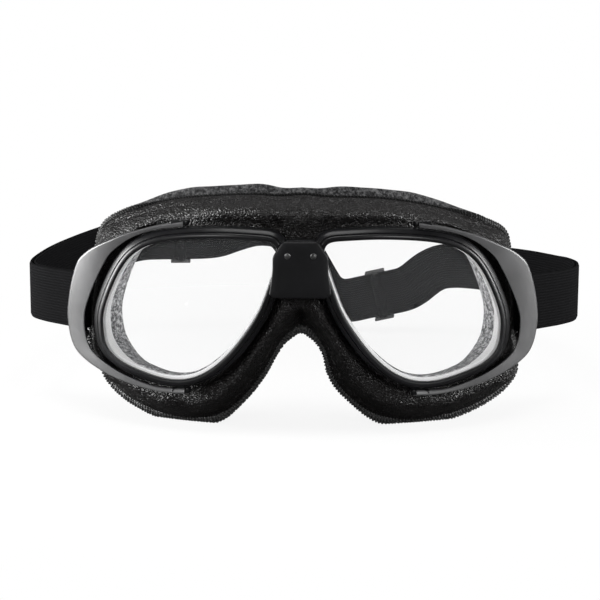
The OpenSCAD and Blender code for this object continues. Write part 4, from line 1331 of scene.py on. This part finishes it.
BAR_Y = float(wrap(BAR_X)) + BAR_BACK
BAR_LEN = STRAP_W + 2 * BAR_PLAY
arm = Shell()
arm.grid(arm_grid(), False, True, caps=True, flip=True)
arm_faces = len(arm.faces)
for z in (HINGE_TOP_Z + AIR, HINGE_LOW_Z - AIR - KNUCKLE_H):
    arm.grid(cylinder_rows(HINGE_X, HINGE_Y, z, z + KNUCKLE_H, KNUCKLE_D / 2), col_loop=True, flip=True)
    front = float(wrap(HINGE_X + 2)) + ARM_D + 1.5
    arm.grid(block_grid(HINGE_X, HINGE_X + 5.5, front, HINGE_Y, z, z + KNUCKLE_H), col_loop=True)
for way in (-1, 1):
    z = STRAP_Z + way * (BAR_LEN + LUG_H) / 2 - LUG_H / 2
    front = float(wrap(BAR_X + LUG_W / 2)) + ARM_D + 1.2
    lug = block_grid(BAR_X - LUG_W / 2, BAR_X + LUG_W / 2, front, BAR_Y + LUG_PAST, z, z + LUG_H, 0.5)
    arm.grid(lug, col_loop=True)
bar_half = BAR_LEN / 2 + BAR_END
bar = cylinder_rows(BAR_X, BAR_Y, STRAP_Z - bar_half, STRAP_Z + bar_half, BAR_D / 2)
arm.grid(bar, col_loop=True, flip=True)
for word, side in SIDES:
    arm_piece = side_piece(arm, f"outrigger_arm_{word}", side, ARM_PLASTIC, f"{word}_outrigger",
                           [f"outrigger_{word}"], "outrigger_plastic", sharp=40)
    arm_piece.data.materials.append(FRAME_PLASTIC)
    black = (np.arange(len(arm.faces)) >= arm_faces).astype(np.int32)
    arm_piece.data.polygons.foreach_set("material_index", black)


print("outrigger:", arm.count, "points")

# %% [markdown]
# The strap is one elastic webbing. It isn't simulated: it lies on its edge, and the photograph
# fixes where it passes behind the lenses. So its route is a list of given points, the
# same as in the CAD, and the webbing is swept along it. Each point has a tangent, a direction
# across the thickness and one across the width.

# %% The strap's route
STRAP_T = 1.5
TURN_PLAY = 0.15
LOOP_R = BAR_D / 2 + TURN_PLAY + STRAP_T / 2
LEAVE_ANGLE = math.radians(40)  # how the strap leaves the bar, seen from above
LEAVE_RUN = 12.0  # its first straight stretch
leave_dir = np.array([math.cos(LEAVE_ANGLE), math.sin(LEAVE_ANGLE)])
loop_end = np.array([BAR_X + LOOP_R * leave_dir[1], BAR_Y - LOOP_R * leave_dir[0], 0])
leave = loop_end + np.array([*(LEAVE_RUN * leave_dir), 0])
HALF_KEYS = [tuple(loop_end), tuple(leave), (118.5, 65.2, 0), (125.7, 76, 0), (128.6, 92, 0)]
RIGHT_BACK = [(128.6, 120, -2), (127.8, 148, -4.9), (125.6, 175, -7.4), (121, 197, -9), (113, 213, -9.8),
              (103, 223.5, -10), (92, 230.2, -9.8), (83.5, 234, -10), (75.8, 236.7, -11.2),
              (69.8, 238.2, -14), (65, 239, -17.6), (60.2, 239.6, -21.6), (54.2, 240.22, -24.8),
              (42.2, 241.02, -27.6), (36.2, 241.42, -29), (30.2, 241.82, -30.4)]
LEFT_BACK = [(-128.6, 120, 0), (-127.5, 148, -0.4), (-125, 175, -0.8), (-121, 197, -0.6),
             (-114, 215, 0.6), (-104.5, 228, 2.6), (-94, 235.51, 4.3), (-83, 236.41, 4.8),
             (-73.2, 237.2, 4.8), (-61, 238.19, 4.8), (-51.5, 239, 5.7), (-43, 239.65, 8.5),
             (-34.4, 240.3, 11.1), (-28.6, 240.9, 12), (-22.8, 241, 12), (-17.1, 241.33, 11),
             (-12, 241.57, 8), (-8.4, 241.72, 3.6), (-5.4, 241.83, -1.5), (-2.5, 241.92, -6.6),
             (0.4, 242.01, -11.6), (3.3, 242.1, -16.7), (6.2, 242.18, -21.7), (9.5, 242.27, -26.6),
             (14.1, 242.4, -30.1), (19.6, 242.34, -31.8), (25.4, 242.14, -31.5)]
STRAP_STEPS = 6
keys = [(-x, y, z) for x, y, z in HALF_KEYS] + LEFT_BACK + RIGHT_BACK[::-1] + HALF_KEYS[::-1]
route = spline(keys, STRAP_STEPS) + [0, 0, STRAP_Z]
CUT = STRAP_STEPS * (len(HALF_KEYS) - 1)
END = len(route) - 1
step_number = np.arange(len(route))
from_end = np.minimum(step_number, END - step_number)
PLY_GAP = STRAP_T + AIR
ply_off = PLY_GAP + (2 * LOOP_R - PLY_GAP) * np.clip(1 - from_end / CUT, 0, 1) ** 3
route_t = tangents(route, False)
route_n = unit(np.stack([route_t[:, 1], -route_t[:, 0], np.zeros(len(route))], 1))
route_w = np.cross(route_t, route_n)
print(f"strap: {arc_length(route)[-1]:.0f} mm from bar to bar")

# %% [markdown]
# Webbing is thinner at its selvedges. Its section has fourteen points, and is swept along a stretch
# of the route, at a distance from it for the second ply.

# %% Webbing along the route
def band_section():
    """Section of the webbing: q across the thickness, h up the width, thin selvedges."""
    e, h = STRAP_T / 2, STRAP_W / 2
    right = [(e, -h + 0.9), (e, -h / 2), (e, 0), (e, h / 2), (e, h - 0.9), (e * 0.55, h)]
    left = [(-e * 0.55, h), (-e, h - 0.9), (-e, h / 2), (-e, 0), (-e, -h / 2), (-e, -h + 0.9)]
    return np.array([(e * 0.55, -h), *right, *left, (-e * 0.55, -h)])


BAND = band_section()


def band_grid(i0, i1, off):
    """Webbing along the route from step i0 to i1, off millimetres towards the head."""
    k = slice(i0, i1 + 1)
    across = (BAND[None, :, :1] + off[k, None, None]) * route_n[k, None]
    p = route[k, None] + across - BAND[None, :, 1:] * route_w[k, None]
    p[..., 2] = np.maximum(p[..., 2], 0)
    return p


print("section of the webbing:", len(BAND), "points")

# %% [markdown]
# The strap turns round the outrigger's bar, and the adjusting ply turns round each slider's middle
# bar. Both turns are arcs of the same section.

# %% Turns round the bars
SLIDER_L = 11.0  # length along the strap
SLIDER_T = 1.8
SLIDER_BAR_D = 2.4
RAIL_PLAY = 0.4
RAIL_T = 1.2


def turn_rows(spot, ahead, side):
    """The adjusting ply's turn round a slider's bar: 288 degrees, as in the CAD."""
    t = unit(np.array(ahead) - np.array(spot))
    n = unit(np.array([t[1], -t[0], 0]))
    w = np.cross(t, n)
    off = STRAP_T / 2 + AIR + SLIDER_BAR_D / 2 + TURN_PLAY + STRAP_T
    c = np.array(spot) + [0, 0, STRAP_Z] + off * n
    r = SLIDER_BAR_D / 2 + TURN_PLAY + STRAP_T / 2
    rows = []
    for a in np.radians(np.linspace(0, 288, 25)):
        out = -math.cos(a) * n + side * math.sin(a) * t
        rows.append(c + (r - BAND[:, :1]) * out - BAND[:, 1:] * w)
    return np.array(rows if side > 0 else rows[::-1])


def loop_rows():
    """The strap's turn round the outrigger's bar."""
    rows = []
    for a in np.linspace(LEAVE_ANGLE + math.pi / 2, LEAVE_ANGLE + 1.5 * math.pi, 17):
        d = np.array([math.cos(a), math.sin(a), 0])
        rows.append(np.array([BAR_X, BAR_Y, STRAP_Z]) + (LOOP_R - BAND[:, :1]) * d + BAND[:, 1:] * [0, 0, 1])
    return np.array(rows)


def step_at(x):
    """The route's step behind the head at x."""
    back = step_number[(route[:, 1] > 200)]
    return back[np.argmin(np.abs(route[back, 0] - x))]


LEFT_SPOT, LEFT_AHEAD = (-72, 237.3, 4.8), (-61, 238.19, 4.8)
RIGHT_SPOT, RIGHT_AHEAD = (41, 241.1, -27.9), (53, 240.3, -25.1)
print("turn:", loop_rows().shape[0], "sections; slider's turn:", len(turn_rows(LEFT_SPOT, LEFT_AHEAD, 1)))

# %% [markdown]
# The strap is split where its joints need it: the long ply stays with the goggles, the turns ride
# on the outriggers, and the plies between are made on their own, attached to no body.

# %% Long ply, side plies and turns
zero = np.zeros(len(route))
strap = Shell().grid(band_grid(CUT, END - CUT, zero), False, True, caps=True)
strap.make("strap_long_ply", WEBBING, "goggles", ["strap_back"], "webbing", sharp=60)
for word, i0, i1 in (("left", 0, CUT), ("right", END - CUT, END)):
    side_strap = Shell()
    side_strap.grid(band_grid(i0, i1, zero), False, True, caps=True)
    side_strap.grid(band_grid(i0, i1, ply_off), False, True, caps=True)
    name = f"strap_side_plies_{word}"
    piece = side_strap.make(name, WEBBING, None, [f"strap_side_{word}"], "webbing", sharp=60)
    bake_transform(piece)

loops = Shell().grid(loop_rows(), False, True, caps=True)
for word, side in SIDES:
    body = f"{word}_outrigger"
    side_piece(loops, f"strap_turn_{word}", side, WEBBING, body, [f"strap_loop_{word}"], "webbing", sharp=60)


print(f"each side of the strap: {arc_length(route[:CUT + 1])[-1]:.0f} mm up to the long ply")

# %% [markdown]
# The adjusting ply lies inside the long ply and ends in a sewn turn on the slider's middle bar.

# %% The adjusting plies
left_ply = band_grid(CUT, step_at(-73.2), ply_off)
right_ply = band_grid(step_at(42.2), END - CUT, ply_off)
left_tail = np.concatenate([left_ply, turn_rows(LEFT_SPOT, LEFT_AHEAD, 1)])
right_tail = np.concatenate([turn_rows(RIGHT_SPOT, RIGHT_AHEAD, -1), right_ply])
for word, g, spot, far in (("left", left_tail, LEFT_SPOT, (-104.5, 228, 2.6)),
                           ("right", right_tail, RIGHT_SPOT, (83.5, 234, -10))):
    tail = Shell().grid(g, False, True, caps=True)
    name = f"strap_adjusting_ply_{word}"
    piece = tail.make(name, WEBBING, None, [f"strap_tail_{word}"], "webbing", sharp=60)
    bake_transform(piece)
print(f"adjusting plies: {arc_length(left_ply[:, 0])[-1]:.0f} and {arc_length(right_ply[:, 0])[-1]:.0f} mm")

# %% [markdown]
# A slider is a small buckle: two rails across the strap's edges, two side bars and a round middle
# bar. It is made flat, then turned into its place by the strap's own directions.

# %% The sliders
def slider_rows(spot, ahead):
    """Grids of one slider, turned into its place on the strap."""
    side_y = STRAP_T / 2 + AIR
    off = STRAP_T / 2 + AIR + SLIDER_BAR_D / 2 + TURN_PLAY + STRAP_T
    low_y = -off - SLIDER_BAR_D / 2
    rail_in = STRAP_W / 2 + RAIL_PLAY
    grids = []
    for s in (-1, 1):
        x = s * (SLIDER_L - SLIDER_T) / 2
        low, high = -rail_in - 0.2, rail_in + 0.2
        grids.append(block_grid(x - SLIDER_T / 2, x + SLIDER_T / 2, side_y, side_y + SLIDER_T, low, high))
        z = rail_in if s > 0 else -rail_in - RAIL_T
        grids.append(block_grid(-SLIDER_L / 2, SLIDER_L / 2, low_y, side_y + SLIDER_T, z, z + RAIL_T))
    grids.append(cylinder_rows(0, -off, -rail_in - 0.2, rail_in + 0.2, SLIDER_BAR_D / 2)[:, ::-1])
    t = unit(np.array(ahead, float) - np.array(spot, float))
    n = unit(np.array([-t[1], t[0], 0]))
    w = np.cross(t, n)
    return [np.array(spot) + [0, 0, STRAP_Z] + g @ np.array([t, n, w]) for g in grids]


for word, spot, ahead in (("left", LEFT_SPOT, LEFT_AHEAD), ("right", RIGHT_SPOT, RIGHT_AHEAD)):
    buckle = Shell()
    for g in slider_rows(spot, ahead):
        buckle.grid(g, col_loop=True)
    cad_node = f"slider_{word}"
    rides_on = f"{word}_slider"
    buckle.make(f"strap_slider_{word}", SLIDER_PLASTIC, rides_on, [cad_node], "slider_plastic", sharp=40)


# %% [markdown]
# The clamping ring, its screws and the hinge pins are right as the CAD has them, and hardly show.
# They keep their CAD mesh and get a finish.

# %% Finishes for the CAD's own parts
KEPT = {
    "pad_carrier": FRAME_PLASTIC, "carrier_screws": STEEL,
    "hinge_pins_left": STEEL, "hinge_pins_right": STEEL}
for name, material in KEPT.items():
    for slot_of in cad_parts[name].material_slots:
        slot_of.material = material


print("kept from the CAD:", ", ".join(KEPT))

# %% [markdown]
# The camera is matched to the photograph: 650 mm from the front, 9.5 degrees up, 1 degree to the
# side and a view of 21.7 degrees. Its distance was fitted by the strap, which is 25 mm wide beside
# the outriggers and also far behind them, where it looks narrower.

# %% The camera
PICTURE = 600
FOCAL_PIXELS = 1566
CAMERA_AZ, CAMERA_EL, CAMERA_ROLL = math.radians(1.0), math.radians(9.5), math.radians(0.2)
CAMERA_D, CAMERA_Z, CENTRE_X = 650, 59, 300.3
back = np.array([math.sin(CAMERA_AZ) * math.cos(CAMERA_EL), -math.cos(CAMERA_AZ) * math.cos(CAMERA_EL),
                 math.sin(CAMERA_EL)])
camera = bpy.data.objects.new("camera", bpy.data.cameras.new("camera"))
camera.data.sensor_width = 36
camera.data.lens = 36 * FOCAL_PIXELS / PICTURE
camera.data.shift_x = (PICTURE / 2 - CENTRE_X) / PICTURE
right = unit(np.array([math.cos(CAMERA_AZ), math.sin(CAMERA_AZ), 0]))
up = np.cross(back, right)
rolled_right = math.cos(CAMERA_ROLL) * right + math.sin(CAMERA_ROLL) * up
rolled_up = -math.sin(CAMERA_ROLL) * right + math.cos(CAMERA_ROLL) * up
turn = Matrix((rolled_right, rolled_up, back)).transposed().to_4x4()
camera.matrix_world = Matrix.Translation(Vector(place([0, 0, CAMERA_Z] + back * CAMERA_D))) @ turn
camera.data.clip_start = 0.01
camera.data.clip_end = 20
bpy.context.scene.collection.objects.link(camera)
bpy.context.scene.camera = camera
print(f"camera at {[round(v, 3) for v in camera.location]} m, lens {camera.data.lens:.0f} mm")

# %% [markdown]
# Black objects are drawn by what they mirror. Two tall panels at the sides draw the grey
# outriggers, a wide box above draws the leather's crest and the brow's fleece, two small fills
# keep the lobes from going black, and a faint light stands behind. A single large light would
# leave the object flat.

# %% Soft lights
def area_light(name, at, aim, size, power):
    """A soft rectangular light aimed at a point, in metres."""
    data = bpy.data.lights.new(name, "AREA")
    data.shape = "RECTANGLE"
    data.size, data.size_y = size
    data.energy = power
    obj = bpy.data.objects.new(name, data)
    obj.location = at
    obj.rotation_euler = (Vector(aim) - Vector(at)).to_track_quat("-Z", "Y").to_euler()
    bpy.context.scene.collection.objects.link(obj)
    return obj


area_light("top_softbox", (-0.05, -0.26, 0.85), (0, 0, 0.05), (0.60, 0.30), 4.0)
area_light("left_panel", (-0.85, 0.03, 0.12), (-0.10, -0.09, 0.06), (0.32, 0.40), 13.0)
area_light("right_panel", (0.86, 0.02, 0.18), (0.10, -0.09, 0.06), (0.28, 0.30), 5.6)
area_light("front_fill_left", (-0.55, -0.78, 0.30), (0.03, 0, 0.06), (0.24, 0.24), 2.5)
area_light("front_fill_right", (0.55, -0.78, 0.30), (-0.03, 0, 0.06), (0.24, 0.24), 2.5)
area_light("back_softbox", (0.10, 0.70, 0.75), (0, 0.05, 0.05), (0.7, 0.4), 0.3)

# %% [markdown]
# The photograph is cut out on white, with the softest of shadows. The floor is white and glows for
# the camera away from the object, so only the shadow near it stays. It looks darker in
# reflections, as a studio's dark floor beyond the table would.

# %% The floor
def stage_surface(name, corners, material):
    """A flat sheet of the stage, given its corners in order."""
    mesh = bpy.data.meshes.new(name)
    mesh.from_pydata(corners, [], [list(range(len(corners)))])
    mesh.materials.append(material)
    obj = bpy.data.objects.new(name, mesh)
    bpy.context.scene.collection.objects.link(obj)
    return obj


white, white_tree, white_shader = new_material("stage white", (0.95, 0.95, 0.945), 0.9, specular=0.1)
glossy = node(white_tree, "ShaderNodeLightPath").outputs["Is Glossy Ray"]
white_tree.links.new(ramp(white_tree, glossy, [(0.0, 0.95), (1.0, 0.10)]), white_shader.inputs["Base Color"])
glow = node(white_tree, "ShaderNodeEmission", Strength=1.0)
length = node(white_tree, "ShaderNodeVectorMath", [(0, coords(white_tree))], operation="LENGTH")
distance = length.outputs["Value"]
far = maths(white_tree, "MULTIPLY", node(white_tree, "ShaderNodeLightPath").outputs["Is Camera Ray"],
            ramp(white_tree, distance, [(0.12, 0.88), (0.30, 1.0)]))
layers = [("Fac", far), (1, white_shader.outputs[0]), (2, glow.outputs[0])]
fade = node(white_tree, "ShaderNodeMixShader", layers)
white_tree.links.new(fade.outputs[0], white_tree.nodes["Material Output"].inputs["Surface"])
stage_surface("floor", [(-6, -6, -0.0002), (6, -6, -0.0002), (6, 6, -0.0002), (-6, 6, -0.0002)], white)
print("floor:", white.name)

# %% [markdown]
# The background is white for the camera and dim for everything else, so that it lights the object
# only a little and black stays black.

# %% The world
world = bpy.data.worlds.new("studio")
world.use_nodes = True
bpy.context.scene.world = world
tree = world.node_tree
backdrop = tree.nodes["Background"]
backdrop.inputs["Color"].default_value = (1, 1, 1, 1)
backdrop.inputs["Strength"].default_value = 1.0
rays = node(tree, "ShaderNodeLightPath")
seen = maths(tree, "MAXIMUM", rays.outputs["Is Camera Ray"], rays.outputs["Is Transmission Ray"])
tree.links.new(maths(tree, "MULTIPLY_ADD", seen, 0.87, 0.13), backdrop.inputs["Strength"])
bpy.context.scene.view_settings.view_transform = "Standard"
print("view transform:", bpy.context.scene.view_settings.view_transform)
